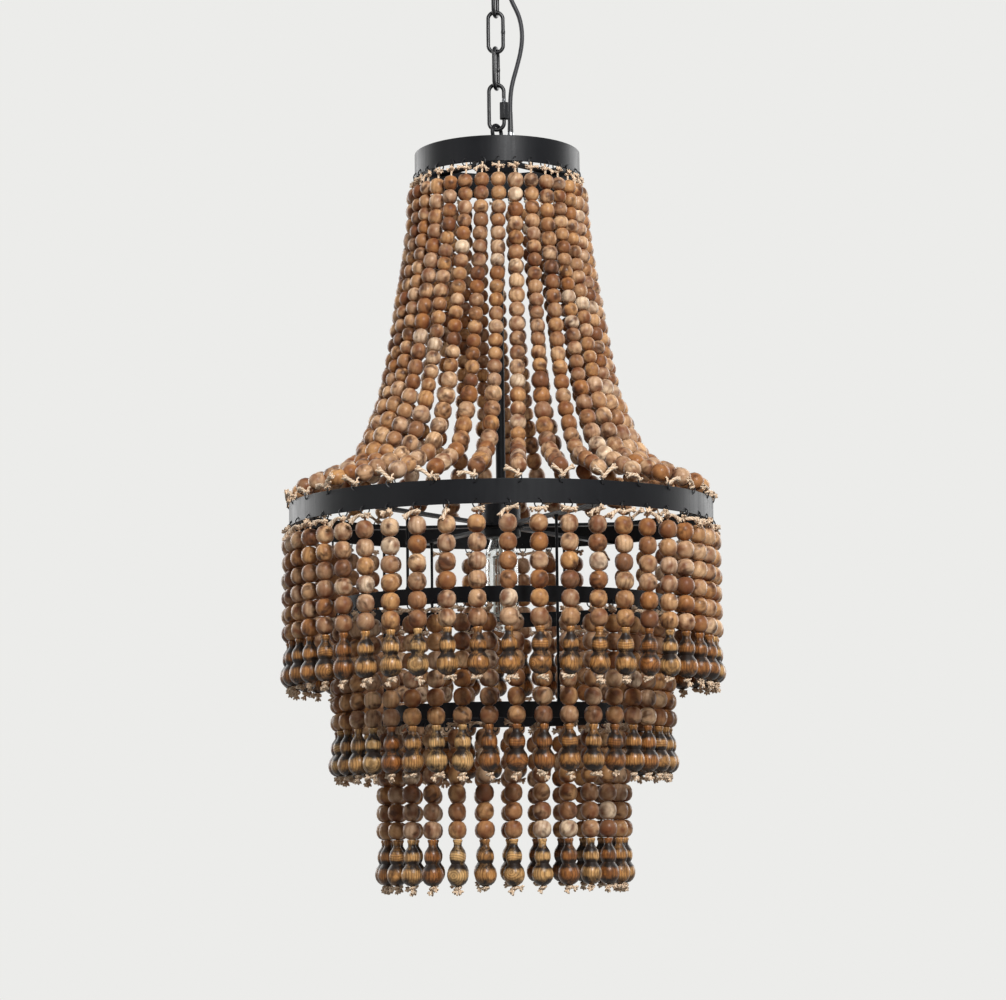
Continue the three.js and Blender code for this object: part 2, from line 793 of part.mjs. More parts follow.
const chain = section("chain_and_cable");
linkTops.forEach((top, i) => {
  const link = place(chain, "chain_link_" + (i + 1), chainLink(), "blackChain");
  link.position.z = top - linkSpan / 2;
  link.rotation.z = i % 2 ? 0 : radians(90 - linkTwist);
});
place(chain, "quick_link", quickLink(), "blackChain").position.z = quickLinkTop - quickLinkSpan / 2;
const sleeve = place(chain, "quick_link_sleeve", screwSleeve(), "blackChain");
sleeve.position.set(linkHalfWidth, 0, quickLinkFoot + sleeveLift);
place(chain, "pendant_cable", cableAlong(cablePoints, cableRadius, 18), "blackRubber");

const frame = section("frame");
place(frame, "top_eye", topEye(), "blackSteel");
place(frame, "hub_canister", hubCanister(), "blackSteel");
place(frame, "cable_gland", cableGland(), "zinc");
place(frame, "inner_cable", heldCable(innerCablePoints, cableRadius), "blackRubber");
const topBand = hoop(topBandRadius, topBandTop, topBandFoot, bandThickness, topBandSides);
place(frame, "top_band", topBand, "blackSteel");
const topReach = armReach(topBandRadius, topBandSides);
const topSpider = spider(hubRadius + seatGap, topReach, topArmTop, topArmCount, 360 / topArmCount / 2);
place(frame, "top_spider", topSpider, "blackSteel");
place(frame, "central_tube", centralTube(), "blackSteel");
const mainReach = armReach(mainBandRadius, mainBandSides);
const mainSpider = spider(cupRadius + seatGap, mainReach, mainArmTop, mainArmCount, armPhase);
place(frame, "main_spider", mainSpider, "blackSteel");
const mainBand = hoop(mainBandRadius, mainBandTop, mainBandFoot, bandThickness, mainBandSides);
place(frame, "main_band", mainBand, "blackSteel");
const ringTwo = hoop(ringTwoRadius, ringTwoTop, ringTwoFoot, bandThickness, ringTwoSides);
place(frame, "ring_two", ringTwo, "blackSteel");
const ringThree = hoop(ringThreeRadius, ringThreeTop, ringThreeFoot, bandThickness, ringThreeSides);
place(frame, "ring_three", ringThree, "blackSteel");

// Thin rods from the main spider's arms down to the two lower rings, turn and turn about.
const hangers = [
  { name: "ring_two_rod_", hoop: ringTwoRadius, top: ringTwoTop, turn: 0 },
  { name: "ring_three_rod_", hoop: ringThreeRadius, top: ringThreeTop, turn: 180 / rodCount },
];
for (const hanger of hangers) {
  for (let i = 0; i < rodCount; i++) {
    const rod = upright(rodRadius, mainArmFoot - seatGap, hanger.top + seatGap, 6);
    const mesh = place(frame, hanger.name + (i + 1), rod, "blackSteel");
    const out = facing(armPhase + hanger.turn + (360 * i) / rodCount);
    mesh.position.copy(out.multiplyScalar(hanger.hoop - bandThickness / 2));
  }
}

const lamp = section("lamp");
place(lamp, "lamp_cup", lampCup(), "blackSteel");
place(lamp, "lock_nut", lockNut(), "zinc");
place(lamp, "lampholder_insert", lampholderInsert(), "bakelite");
place(lamp, "bulb_cap", lampCap(), "zinc");
place(lamp, "bulb_glass", bulbGlass(), "glass");
place(lamp, "bulb_filament", bulbFilament(), "filament");

const strings = section("bead_strings");
for (let i = 0; i < swagCount / swagsPerGroup; i++) {
  place(strings, "swag_group_" + (i + 1), swagGroup(i * swagsPerGroup, swagsPerGroup), "wood");
}

tiers.forEach((tier, index) => {
  const step = 360 / tier.groups.reduce((sum, count) => sum + count, 0);
  const radius = tier.hoop - bandThickness / 2;
  let first = 0;
  tier.groups.forEach((count, i) => {
    const middle = tier.phase + step * (first + (count - 1) / 2);
    const group = dropGroup(radius, tierEdges[index], step, count, middle);
    place(strings, tier.name + "_group_" + (i + 1), group, "wood");
    first += count;
  });
});

export default chandelier;
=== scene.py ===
import math
import random

import bpy
import numpy as np
from mathutils import Matrix, Vector


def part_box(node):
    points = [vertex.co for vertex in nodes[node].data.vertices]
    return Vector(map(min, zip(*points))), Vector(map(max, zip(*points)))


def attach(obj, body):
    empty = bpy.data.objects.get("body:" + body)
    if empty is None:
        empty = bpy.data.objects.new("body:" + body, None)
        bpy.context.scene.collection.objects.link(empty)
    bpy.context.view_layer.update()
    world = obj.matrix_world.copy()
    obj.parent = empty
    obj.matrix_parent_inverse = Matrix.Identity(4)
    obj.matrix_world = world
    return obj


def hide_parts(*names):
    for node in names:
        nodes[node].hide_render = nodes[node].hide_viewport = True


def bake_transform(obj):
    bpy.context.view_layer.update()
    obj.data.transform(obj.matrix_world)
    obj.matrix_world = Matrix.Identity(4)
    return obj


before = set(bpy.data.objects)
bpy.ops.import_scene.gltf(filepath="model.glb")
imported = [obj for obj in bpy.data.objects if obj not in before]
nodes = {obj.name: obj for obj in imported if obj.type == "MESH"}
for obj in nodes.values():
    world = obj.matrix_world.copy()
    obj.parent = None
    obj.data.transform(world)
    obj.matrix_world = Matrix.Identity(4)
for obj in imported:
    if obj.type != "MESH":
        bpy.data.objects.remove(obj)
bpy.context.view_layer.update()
mm = 0.001
print("frame loaded,", len(nodes), "nodes")


def selectNothing():
    if bpy.context.object and bpy.context.object.mode != "OBJECT":
        bpy.ops.object.mode_set(mode="OBJECT")
    bpy.ops.object.select_all(action="DESELECT")


def pick(*pieces):
    selectNothing()
    for piece in pieces:
        piece.select_set(True)
    bpy.context.view_layer.objects.active = pieces[0]
    return pieces[0]


def settle(piece):
    # puts the object's place into its mesh, so that the object itself sits at the origin
    pick(piece)
    bpy.ops.object.transform_apply(location=True, rotation=True, scale=True)
    return piece


def named(piece, name):
    piece.name = name
    piece.data.name = name
    return piece


def joined(name, pieces):
    pick(*pieces)
    if len(pieces) > 1:
        bpy.ops.object.join()
    return named(bpy.context.object, name)


def copyOf(pattern, place):
    piece = pattern.copy()
    piece.data = pattern.data.copy()
    bpy.context.scene.collection.objects.link(piece)
    piece.data.transform(place)
    return piece


def smoothed(piece, degrees=35):
    pick(piece)
    bpy.ops.object.shade_smooth_by_angle(angle=math.radians(degrees))
    return piece


def finishedWith(piece, kind, **settings):
    # adds a modifier and applies it at once
    pick(piece)
    modifier = piece.modifiers.new(kind.title(), kind)
    for key, value in settings.items():
        setattr(modifier, key, value)
    bpy.ops.object.modifier_apply(modifier=modifier.name)
    return piece


def pickFaces(piece, wanted):
    # leaves the piece in edit mode with only the wanted faces selected
    pick(piece)
    bpy.ops.object.mode_set(mode="EDIT")
    bpy.ops.mesh.select_all(action="DESELECT")
    bpy.ops.object.mode_set(mode="OBJECT")
    for face in piece.data.polygons:
        face.select = wanted(face)
    bpy.ops.object.mode_set(mode="EDIT")
    bpy.ops.mesh.select_mode(type="FACE")


def carry(piece, name, values):
    # gives each point of the mesh a number or a vector of its own, under a name that materials read
    values = np.array(values, np.float32)
    isVector = values.ndim > 1
    layer = piece.data.attributes.get(name)
    if not layer:
        layer = piece.data.attributes.new(name, "FLOAT_VECTOR" if isVector else "FLOAT", "POINT")
    layer.data.foreach_set("vector" if isVector else "value", values.ravel())


def turned(name, profile, sides=48, hollow=False, at=(0, 0)):
    # a circle at the first (radius, height), extruded and scaled to the others; a hollow one is bridged shut
    selectNothing()
    radius, height = profile[0]
    bpy.ops.mesh.primitive_circle_add(vertices=sides, radius=radius * mm, location=(0, 0, height * mm),
        fill_type="NOTHING" if hollow else "NGON")
    piece = settle(bpy.context.object)
    bpy.ops.object.mode_set(mode="EDIT")
    bpy.ops.mesh.select_mode(type="EDGE")
    bpy.ops.mesh.select_all(action="SELECT")
    for newRadius, newHeight in profile[1:]:
        rise = (0, 0, (newHeight - height) * mm)
        bpy.ops.mesh.extrude_region_move(TRANSFORM_OT_translate={"value": rise})
        share = newRadius / radius
        bpy.ops.transform.resize(value=(share, share, 1), center_override=(0, 0, newHeight * mm))
        radius, height = newRadius, newHeight
    if hollow:
        bpy.ops.mesh.select_all(action="DESELECT")
        bpy.ops.mesh.select_non_manifold()
        bpy.ops.mesh.bridge_edge_loops()
    bpy.ops.mesh.select_all(action="SELECT")
    bpy.ops.mesh.normals_make_consistent(inside=False)
    bpy.ops.transform.translate(value=(at[0] * mm, at[1] * mm, 0))
    bpy.ops.object.mode_set(mode="OBJECT")
    return named(piece, name)


def shaped(name, size):
    # a turned piece by its dictionary, with its edges sharper than "sharp" degrees kept
    piece = turned(name, size["profile"], size["sides"], size.get("hollow", False), size.get("at", (0, 0)))
    return smoothed(piece, size.get("sharp", 35))


def wireRing(name, radius, wire, stretch=0, around=32, sides=10):
    # a torus upright in the XZ plane, with its halves drawn apart for a long link
    selectNothing()
    bpy.ops.mesh.primitive_torus_add(major_radius=radius * mm, minor_radius=wire * mm,
        major_segments=around, minor_segments=sides, rotation=(math.pi / 2, 0, 0))
    piece = settle(bpy.context.object)
    if stretch:
        # the points within 0.2 mm of mid height stay, in the middle of the straight
        for sign in (1, -1):
            bpy.ops.object.mode_set(mode="EDIT")
            bpy.ops.mesh.select_all(action="DESELECT")
            bpy.ops.object.mode_set(mode="OBJECT")
            for vertex in piece.data.vertices:
                vertex.select = vertex.co.z * sign > 0.2 * mm
            bpy.ops.object.mode_set(mode="EDIT")
            bpy.ops.transform.translate(value=(0, 0, sign * stretch / 2 * mm))
        bpy.ops.object.mode_set(mode="OBJECT")
    return smoothed(named(piece, name), 60)


def smoothPath(points, steps):
    # a smooth line through the points, `steps` stretches between two of them
    ends = [2 * points[0] - points[1], *points, 2 * points[-1] - points[-2]]
    line = []
    for i in range(1, len(ends) - 2):
        a, b, c, d = ends[i - 1 : i + 3]
        for k in range(steps):
            t = k / steps
            line.append(0.5 * (2 * b + (c - a) * t + (2 * a - 5 * b + 4 * c - d) * t * t
                + (3 * b - a - 3 * c + d) * t ** 3))
    return [*line, points[-1]]


def pathLengths(points):
    lengths = [0.0]
    for a, b in zip(points, points[1:]):
        lengths.append(lengths[-1] + (b - a).length)
    return lengths


def cordTube(name, points, radii, resolution=2):
    # a round curve made a mesh; cordPlace is each point's place on the cord laid straight, in mm
    selectNothing()
    bpy.ops.curve.primitive_bezier_curve_add(location=(0, 0, 0))
    curve = bpy.context.object
    curve.data.splines.clear()
    spline = curve.data.splines.new("POLY")
    spline.points.add(len(points) - 1)
    for i, point in enumerate(points):
        spline.points[i].co = (*(point * mm), 1)
        spline.points[i].radius = radii[i]
    curve.data.dimensions = "3D"
    curve.data.bevel_mode = "ROUND"
    curve.data.bevel_depth = mm
    curve.data.bevel_resolution = resolution
    bpy.ops.object.convert(target="MESH")
    piece = bpy.context.object
    around = len(piece.data.vertices) // len(points)
    laidStraight = []
    for radius, length in zip(radii, pathLengths(points)):
        for k in range(around):
            angle = 2 * math.pi * k / around
            laidStraight.append((radius * math.cos(angle), radius * math.sin(angle), length))
    carry(piece, "cordPlace", laidStraight)
    bpy.ops.object.mode_set(mode="EDIT")
    bpy.ops.mesh.select_all(action="SELECT")
    bpy.ops.mesh.fill_holes(sides=0)
    bpy.ops.mesh.select_all(action="SELECT")
    bpy.ops.mesh.normals_make_consistent(inside=False)
    bpy.ops.object.mode_set(mode="OBJECT")
    return smoothed(named(piece, name), 60)


# the camera stands where the hoops' ellipses put it: low, and looking a little up
cameraSetting = {"lens": 101.2, "sensor": 36, "place": (0.00207, -2.9218, -0.9608), "lookUp": 6.83,
    "roll": -0.67}
selectNothing()
bpy.ops.object.camera_add(location=cameraSetting["place"])
camera = bpy.context.object
camera.name = "studioCamera"
camera.data.lens = cameraSetting["lens"]
camera.data.sensor_width = cameraSetting["sensor"]
looking = Matrix.Rotation(math.radians(90 + cameraSetting["lookUp"]), 4, "X")
looking = looking @ Matrix.Rotation(math.radians(cameraSetting["roll"]), 4, "Z")
camera.rotation_euler = looking.to_euler()
bpy.context.scene.camera = camera
bpy.context.scene.view_settings.view_transform = "Standard"
print("camera placed")

# the free cable from the ceiling grip to the gland on the hub, cut where one link hands over to the next
pendantCable = {
    "radius": 2.4,
    "steps": 4,
    "points": [(18, 0, -36.3), (18, 0, -43), (17.2, 0.3, -50), (15.8, 0.8, -57), (15, 1.4, -64),
        (15.8, 2, -70.5), (18.2, 2.6, -77.5), (21.8, 3.2, -85), (25, 3.7, -93), (27.1, 4.2, -102),
        (28, 4.6, -112), (27.6, 5, -122), (26, 5.4, -132), (23.6, 5.7, -142), (20.8, 5.9, -152),
        (18, 6, -162), (15.9, 6, -172), (14.8, 6, -183), (14.5, 6, -196), (14.5, 6, -208), (14.5, 6, -220.8)],
    # lowest z of each piece, the two bodies above and below it, and the top and foot of its bend; only the
    # lowest z is read here
    "pieces": [
        (-70.5, "ceiling_fitting", "chain_link_1", -47, -68),
        (-112, "chain_link_1", "chain_link_2", -73, -109),
        (-152, "chain_link_2", "chain_link_3", -115, -149),
        (-186.25, "chain_link_3", "quick_link", -155, -184),
        (-220.8, "quick_link", "frame", -198, -216),
    ],
}
cableLine = smoothPath([Vector(p) for p in pendantCable["points"]], pendantCable["steps"])
cablePieces = []
first = 0
for i, (lowest, above, below, bendTop, bendFoot) in enumerate(pendantCable["pieces"], 1):
    last = min(range(len(cableLine)), key=lambda k: abs(cableLine[k].z - lowest))
    stretch = cableLine[first : last + 1]
    piece = cordTube(f"pendantCable{i}", stretch, [pendantCable["radius"]] * len(stretch), resolution=4)
    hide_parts("pendant_cable")
    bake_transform(piece)
    cablePieces.append(piece)
    first = last
print("cable made,", len(cablePieces), "pieces")


def linear(code):
    # an sRGB hex colour as Blender's linear one
    values = [int(code[i : i + 2], 16) / 255 for i in (0, 2, 4)]
    return (*[v / 12.92 if v <= 0.04045 else ((v + 0.055) / 1.055) ** 2.4 for v in values], 1)


def setSockets(tree, node, inputs):
    # each value is another node's output, a hex colour, or a plain number or vector
    for key, value in inputs.items():
        if isinstance(value, bpy.types.NodeSocket):
            tree.links.new(value, node.inputs[key])
        else:
            node.inputs[key].default_value = linear(value) if isinstance(value, str) else value


def addNode(tree, kind, output=None, inputs={}, stops=(), **settings):
    # hands back one output, or all of them; by number, a Mix has its share at 0, its colours at 6 and 7 and
    # its result at 2, and a Map Range has its value at 0, its old range at 1 and 2 and its new one at 3 and 4
    node = tree.nodes.new("ShaderNode" + kind)
    for key, value in settings.items():
        setattr(node, key, value)
    setSockets(tree, node, inputs)
    if stops:
        while len(node.color_ramp.elements) < len(stops):
            node.color_ramp.elements.new(0.5)
        for element, (position, shade) in zip(node.color_ramp.elements, stops):
            element.position = position
            element.color = linear(shade) if isinstance(shade, str) else (shade, shade, shade, 1)
    return node.outputs if output is None else node.outputs[output]


def newMaterial(name, carried=None):
    # with it comes what its pattern follows: the object's coordinates, or a vector that the mesh carries
    material = bpy.data.materials.new(name)
    material.use_nodes = True
    tree = material.node_tree
    if carried:
        return material, tree, addNode(tree, "Attribute", "Vector", attribute_name=carried)
    return material, tree, addNode(tree, "TexCoord", "Object")


def surface(tree, look, colour, gloss=None, height=None):
    # the shader's settings, its colour, its roughness where the gloss varies, and its relief where it has any
    inputs = {**look["shader"], "Base Color": colour}
    if "rough" in look:
        low, high = look.get("glossOver", (0, 1))
        gloss = {0: gloss, 1: low, 2: high, 3: look["smooth"], 4: look["rough"]}
        inputs["Roughness"] = addNode(tree, "MapRange", 0, gloss)
    if "relief" in look:
        strength, depth = look["relief"]
        relief = {"Height": height, "Strength": strength, "Distance": depth * mm}
        inputs["Normal"] = addNode(tree, "Bump", "Normal", relief)
    setSockets(tree, tree.nodes["Principled BSDF"], inputs)


def stained(tree, colour, pattern, stops, stain):
    # lays the stain over the colour where the pattern is strong; the stops give its share
    share = addNode(tree, "ValToRGB", "Color", {"Fac": pattern}, stops)
    return addNode(tree, "Mix", 2, {0: share, 6: colour, 7: stain}, data_type="RGBA")


def clouded(name, look):
    # a finish whose one noise moves its colour, its gloss and, where it has any, its relief
    material, tree, place = newMaterial(name, look.get("carried"))
    if "stretch" in look:
        place = addNode(tree, "Mapping", "Vector", {"Vector": place, "Scale": look["stretch"]})
    cloud = addNode(tree, "TexNoise", "Fac", {"Vector": place, "Scale": look["scale"],
        "Detail": look["detail"], "Roughness": look.get("harshness", 0.5)})
    surface(tree, look, addNode(tree, "ValToRGB", "Color", {"Fac": cloud}, look["colours"]), cloud, cloud)
    return material


def dress(piece, *materials):
    piece.data.materials.clear()
    for material in materials:
        piece.data.materials.append(material)
    return piece


# Mild steel strip and tube, rolled, then powder coated black: satin, with a fine orange peel and upright
# roller marks. A scale is how many of a pattern go to the metre, and relief is its strength and depth in mm.
coat = {
    "black": "0B0C0F", "worn": "131418", "dust": "222327", "dustShare": [(0.68, 0), (0.78, 0.5)],
    "cloudScale": 26, "dustScale": 520, "peelMm": 2.2, "markMm": 3.5, "markStretch": (1, 1, 0.06),
    "smooth": 0.32, "rough": 0.46, "glossOver": (0.7, 1.3), "relief": (0.12, 0.3),
    "shader": {"Specular IOR Level": 0.17},
}
blackCoat, tree, place = newMaterial("powderCoatedSteel")
cloud = addNode(tree, "TexNoise", "Fac", {"Vector": place, "Scale": coat["cloudScale"], "Detail": 4,
    "Roughness": 0.6})
specks = addNode(tree, "TexNoise", "Fac", {"Vector": place, "Scale": coat["dustScale"], "Detail": 2})
patches = addNode(tree, "Mix", 2, {0: cloud, 6: coat["black"], 7: coat["worn"]}, data_type="RGBA")
upright = addNode(tree, "Mapping", "Vector", {"Vector": place, "Scale": coat["markStretch"]})
marks = addNode(tree, "TexNoise", "Fac", {"Vector": upright, "Scale": 1000 / coat["markMm"], "Detail": 2})
uneven = addNode(tree, "Math", 0, {0: cloud, 1: marks}, operation="ADD")
peel = addNode(tree, "TexNoise", "Fac", {"Vector": place, "Scale": 1000 / coat["peelMm"], "Detail": 1})
surface(tree, coat, stained(tree, patches, specks, coat["dustShare"], coat["dust"]), uneven, peel)

# Welded chain wire, dipped in black lacquer: smoother and glossier, rubbed grey where it wears.
lacquer = {
    "colours": [(0.5, "0C0D0F"), (0.8, "1C1D20")], "scale": 1000 / 9, "detail": 1, "smooth": 0.26,
    "rough": 0.38, "glossOver": (0.3, 0.75), "relief": (0.05, 0.2), "shader": {"Specular IOR Level": 0.3},
}
blackLacquer = clouded("lacqueredWire", lacquer)

# Zinc plated steel: bright grey metal with a faint crystal cloud and a fine turned grain.
zinc = {"light": "C9CBCD", "dark": "8E9194", "crystalMm": 4, "grainScale": 900, "smooth": 0.22, "rough": 0.4,
    "relief": (0.08, 0.2), "shader": {"Metallic": 1}}
zincPlate, tree, place = newMaterial("zincPlatedSteel")
crystals = addNode(tree, "TexVoronoi", "Distance", {"Vector": place, "Scale": 1000 / zinc["crystalMm"]})
grain = addNode(tree, "TexNoise", "Fac", {"Vector": place, "Scale": zinc["grainScale"], "Detail": 3})
colour = addNode(tree, "Mix", 2, {0: crystals, 6: zinc["light"], 7: zinc["dark"]}, data_type="RGBA")
surface(tree, zinc, colour, grain, grain)

# Extruded PVC cable sheath: matt black with faint draw lines along it and a few scuffs.
sheath = {
    "carried": "cordPlace", "stretch": (1.3, 1.3, 0.08), "colours": [(0.4, "15161A"), (0.75, "2B2C31")],
    "scale": 1.4, "detail": 3, "smooth": 0.42, "rough": 0.62, "relief": (0.15, 0.2),
    "shader": {"Specular IOR Level": 0.42},
}
cableSheath = clouded("extrudedSheath", sheath)

# Injection moulded plastic, black for the grip and insert and white for the terminals: a fine spark texture.
mould = {"scale": 700, "detail": 3, "harshness": 0.7, "relief": (0.15, 0.2),
    "shader": {"Specular IOR Level": 0.45}}
plastics = {
    "Black": {**mould, "colours": [(0, "0E0F11"), (1, "1A1B1E")], "smooth": 0.39, "rough": 0.55},
    "White": {**mould, "colours": [(0, "D9D5CA"), (1, "EAE6DC")], "smooth": 0.32, "rough": 0.48},
}
moulded = {plastic: clouded("moulded" + plastic, look) for plastic, look in plastics.items()}

# Blown soda glass: clear, with the faint waver of a drawn tube and a trace of dust.
blown = {"tint": "F6F8F7", "waverScale": (90, 90, 14), "dustScale": 60, "smooth": 0, "rough": 0.08,
    "glossOver": (0.5, 0.8), "relief": (0.1, 0.6), "shader": {"Transmission Weight": 1, "IOR": 1.5}}
clearGlass, tree, place = newMaterial("blownGlass")
drawnOut = addNode(tree, "Mapping", "Vector", {"Vector": place, "Scale": blown["waverScale"]})
waver = addNode(tree, "TexNoise", "Fac", {"Vector": drawnOut, "Scale": 1, "Detail": 1})
dust = addNode(tree, "TexNoise", "Fac", {"Vector": place, "Scale": blown["dustScale"], "Detail": 5})
surface(tree, blown, blown["tint"], dust, waver)

# Carbon filament on drawn nickel wire: grey metal, dulled along its length.
nickel = {"colours": [(0, "8C8A84"), (1, "D5D1C6")], "scale": 320, "detail": 2, "smooth": 0.25, "rough": 0.5,
    "shader": {"Metallic": 1}}
nickelWire = clouded("drawnNickel", nickel)

# Annealed binding wire: thin, nearly black with scale, and bright where it has been bent.
annealed = {"colours": [(0.5, "121214"), (0.8, "3A3A3E")], "scale": 450, "detail": 3, "smooth": 0.35,
    "rough": 0.55, "shader": {"Metallic": 0.3, "Specular IOR Level": 0.35}}
bindingWire = clouded("annealedWire", annealed)

# Turned hardwood beads, sanded and waxed: tan to brown, each from another part of the plank, dull satin and
# clouded. grainPlace is each bead's own place in the plank in mm, so scales here are to the millimetre, and
# tone says how pale its plank was. Real grain is finer than a pixel, so the streaks are drawn 1.5 mm apart.
wood = {
    "tones": [(0.0, "774A2F"), (0.14, "8E6A50"), (0.28, "AE7747"), (0.42, "B08C6D"), (0.54, "CB9863"),
        (0.66, "CBA888"), (0.8, "DFB588"), (0.9, "DFC4A6"), (1.0, "EBD0AF")],
    "ringMm": 4.2, "ringAxis": "Z", "ringWaver": 2.2, "ringDetail": 0.35, "ringDark": "86552F",
    "ringShare": [(0.4, 0), (0.95, 0.3)],
    "streakMm": 1.5, "streakStretch": (1, 1, 0.14), "streakHarshness": 0.6, "streakShade": (0.9, 1.09),
    "blotchScale": 0.09, "blotchDark": "74432A", "blotchShare": [(0.42, 0), (0.7, 0.9)],
    "smokeScale": 0.11, "smoke": "4A2E20", "smokeShare": [(0.53, 0), (0.69, 0.9)],
    # the smoke's noise is taken from elsewhere in the plank, so that it isn't the blotches' own
    "smokeFrom": (41, 17, 5), "smokeStretch": (1, 1, 0.5),
    "smooth": 0.26, "rough": 0.42, "glossOver": (0.3, 0.7), "relief": (0.1, 0.3),
    "shader": {"Specular IOR Level": 0.16},
}
waveStep = 0.314  # at this scale a wave's rings are one unit apart


def turnedWood(name, look):
    # the material, with its place in the plank, its tone, its growth rings and the streaks along its grain
    material, tree, grain = newMaterial(name, "grainPlace")
    tone = addNode(tree, "Attribute", "Fac", attribute_name="tone")
    rings = addNode(tree, "TexWave", "Fac", {"Vector": grain, "Scale": waveStep / look["ringMm"],
        "Distortion": look["ringWaver"], "Detail": 2, "Detail Scale": look["ringDetail"]},
        wave_type="RINGS", rings_direction=look["ringAxis"])
    drawnOut = addNode(tree, "Mapping", "Vector", {"Vector": grain, "Scale": look["streakStretch"]})
    streaks = addNode(tree, "TexNoise", "Fac", {"Vector": drawnOut, "Scale": 1 / look["streakMm"],
        "Detail": 3, "Roughness": look["streakHarshness"]})
    return material, tree, grain, tone, rings, streaks


beadWood, tree, grain, tone, rings, streaks = turnedWood("waxedBeadWood", wood)
darkest, lightest = wood["streakShade"]
streakShade = addNode(tree, "MapRange", 0, {0: streaks, 1: 0.3, 2: 0.7, 3: darkest, 4: lightest})
blotch = addNode(tree, "TexNoise", "Fac", {"Vector": grain, "Scale": wood["blotchScale"], "Detail": 1.5})
elsewhere = addNode(tree, "Mapping", "Vector", {"Vector": grain, "Location": wood["smokeFrom"],
    "Scale": wood["smokeStretch"]})
smoke = addNode(tree, "TexNoise", "Fac", {"Vector": elsewhere, "Scale": wood["smokeScale"], "Detail": 2})
colour = addNode(tree, "ValToRGB", "Color", {"Fac": tone}, wood["tones"])
colour = stained(tree, colour, rings, wood["ringShare"], wood["ringDark"])
colour = addNode(tree, "VectorMath", "Vector", {0: colour, "Scale": streakShade}, operation="SCALE")
colour = stained(tree, colour, blotch, wood["blotchShare"], wood["blotchDark"])
surface(tree, wood, stained(tree, colour, smoke, wood["smokeShare"], wood["smoke"]), blotch, streaks)

# Turned finials, scorched with a flame and waxed: amber on the bellies, charred in the grooves, streaks down
# the grain, and on some the growth rings show round on the lower belly, drawn 2.4 mm apart so that they show.
scorch = {
    "amber": [(0.0, "6A3E20"), (0.3, "9A6032"), (0.65, "C48B50"), (1.0, "E6B97C")],
    "ringMm": 2.4, "ringAxis": "Y", "ringWaver": 1.6, "ringDetail": 0.4, "ringDark": "4A2A15",
    "ringShare": [(0.5, 0), (0.95, 0.5)],
    "streakMm": 1.3, "streakStretch": (1, 1, 0.1), "streakHarshness": 0.65,
    # share of char down the finial, from its lip to its foot
    "charring": [(0.0, 0.2), (0.07, 0.2), (0.12, 0.8), (0.25, 1.0), (0.33, 0.3), (0.42, 0.3), (0.48, 1.0),
        (0.61, 1.0), (0.69, 0.35), (0.8, 0.2), (0.88, 0.75), (1.0, 1.0)],
    # patches where the flame licked add to the char and streaks take from it, each either side of nothing
    "flickerScale": 0.11, "flicker": 1.6, "streaking": 0.6, "charFrom": 0.08, "charFull": 0.95,
    "char": "1F140D", "smooth": 0.26, "rough": 0.42, "relief": (0.2, 0.4),
    "shader": {"Specular IOR Level": 0.26},
}
finialWood, tree, grain, tone, rings, streaks = turnedWood("scorchedFinialWood", scorch)
down = addNode(tree, "Attribute", "Fac", attribute_name="downShare")
shade = addNode(tree, "Math", 0, {0: streaks, 1: tone}, operation="ADD")
shade = addNode(tree, "MapRange", 0, {0: shade, 1: 0.45, 2: 1.55})
colour = addNode(tree, "ValToRGB", "Color", {"Fac": shade}, scorch["amber"])
colour = stained(tree, colour, rings, scorch["ringShare"], scorch["ringDark"])
char = addNode(tree, "ValToRGB", "Color", {"Fac": down}, scorch["charring"])
patches = addNode(tree, "TexNoise", "Fac", {"Vector": grain, "Scale": scorch["flickerScale"], "Detail": 2})
flicker = addNode(tree, "Math", 0, {0: patches, 1: scorch["flicker"], 2: -scorch["flicker"] / 2},
    operation="MULTIPLY_ADD")
lines = addNode(tree, "Math", 0, {0: streaks, 1: scorch["streaking"], 2: -scorch["streaking"] / 2},
    operation="MULTIPLY_ADD")
char = addNode(tree, "Math", 0, {0: char, 1: flicker}, operation="ADD")
char = addNode(tree, "Math", 0, {0: char, 1: lines}, operation="SUBTRACT")
char = addNode(tree, "MapRange", 0, {0: char, 1: scorch["charFrom"], 2: scorch["charFull"]})
colour = addNode(tree, "Mix", 2, {0: char, 6: colour, 7: scorch["char"]}, data_type="RGBA")
surface(tree, scorch, colour, char, streaks)

# Three-ply jute twine: cream, hairy and matt, with the plies' slanting lines. Its colour follows the fibres'
# own tone and the plies' relief, so the grooves between the plies are painted darker as shade. The lay is
# about 4 mm here.
jute = {
    "colours": [(0.28, "B98F68"), (0.62, "F4DFC4")], "layMm": 4.2, "plies": 3,
    "plyHeight": 0.16, "fibreScale": 1.6, "relief": (0.6, 0.6),
    "shader": {"Specular IOR Level": 0.2, "Sheen Weight": 0.25, "Roughness": 0.9},
}
juteTwine, tree, place = newMaterial("twistedJute", "cordPlace")
apart = addNode(tree, "SeparateXYZ", None, {0: place})
lay = addNode(tree, "Math", 0, {0: apart["Y"], 1: apart["X"]}, operation="ARCTAN2")
lay = addNode(tree, "Math", 0, {0: lay, 1: jute["plies"]}, operation="MULTIPLY")
lay = addNode(tree, "Math", 0, {0: apart["Z"], 1: 2 * math.pi / jute["layMm"], 2: lay},
    operation="MULTIPLY_ADD")
ply = addNode(tree, "Math", 0, {0: lay}, operation="SINE")
fibre = addNode(tree, "TexNoise", "Fac", {"Vector": place, "Scale": jute["fibreScale"], "Detail": 4,
    "Roughness": 0.7})
height = addNode(tree, "Math", 0, {0: ply, 1: jute["plyHeight"], 2: fibre}, operation="MULTIPLY_ADD")
# the ramp paints the low parts of this height, the grooves between the plies, darker as painted shade; the
# fibre noise in it is the twine's own tone
surface(tree, jute, addNode(tree, "ValToRGB", "Color", {"Fac": height}, jute["colours"]), height=height)
print("materials made,", len(bpy.data.materials))

for piece in cablePieces:
    dress(piece, cableSheath)


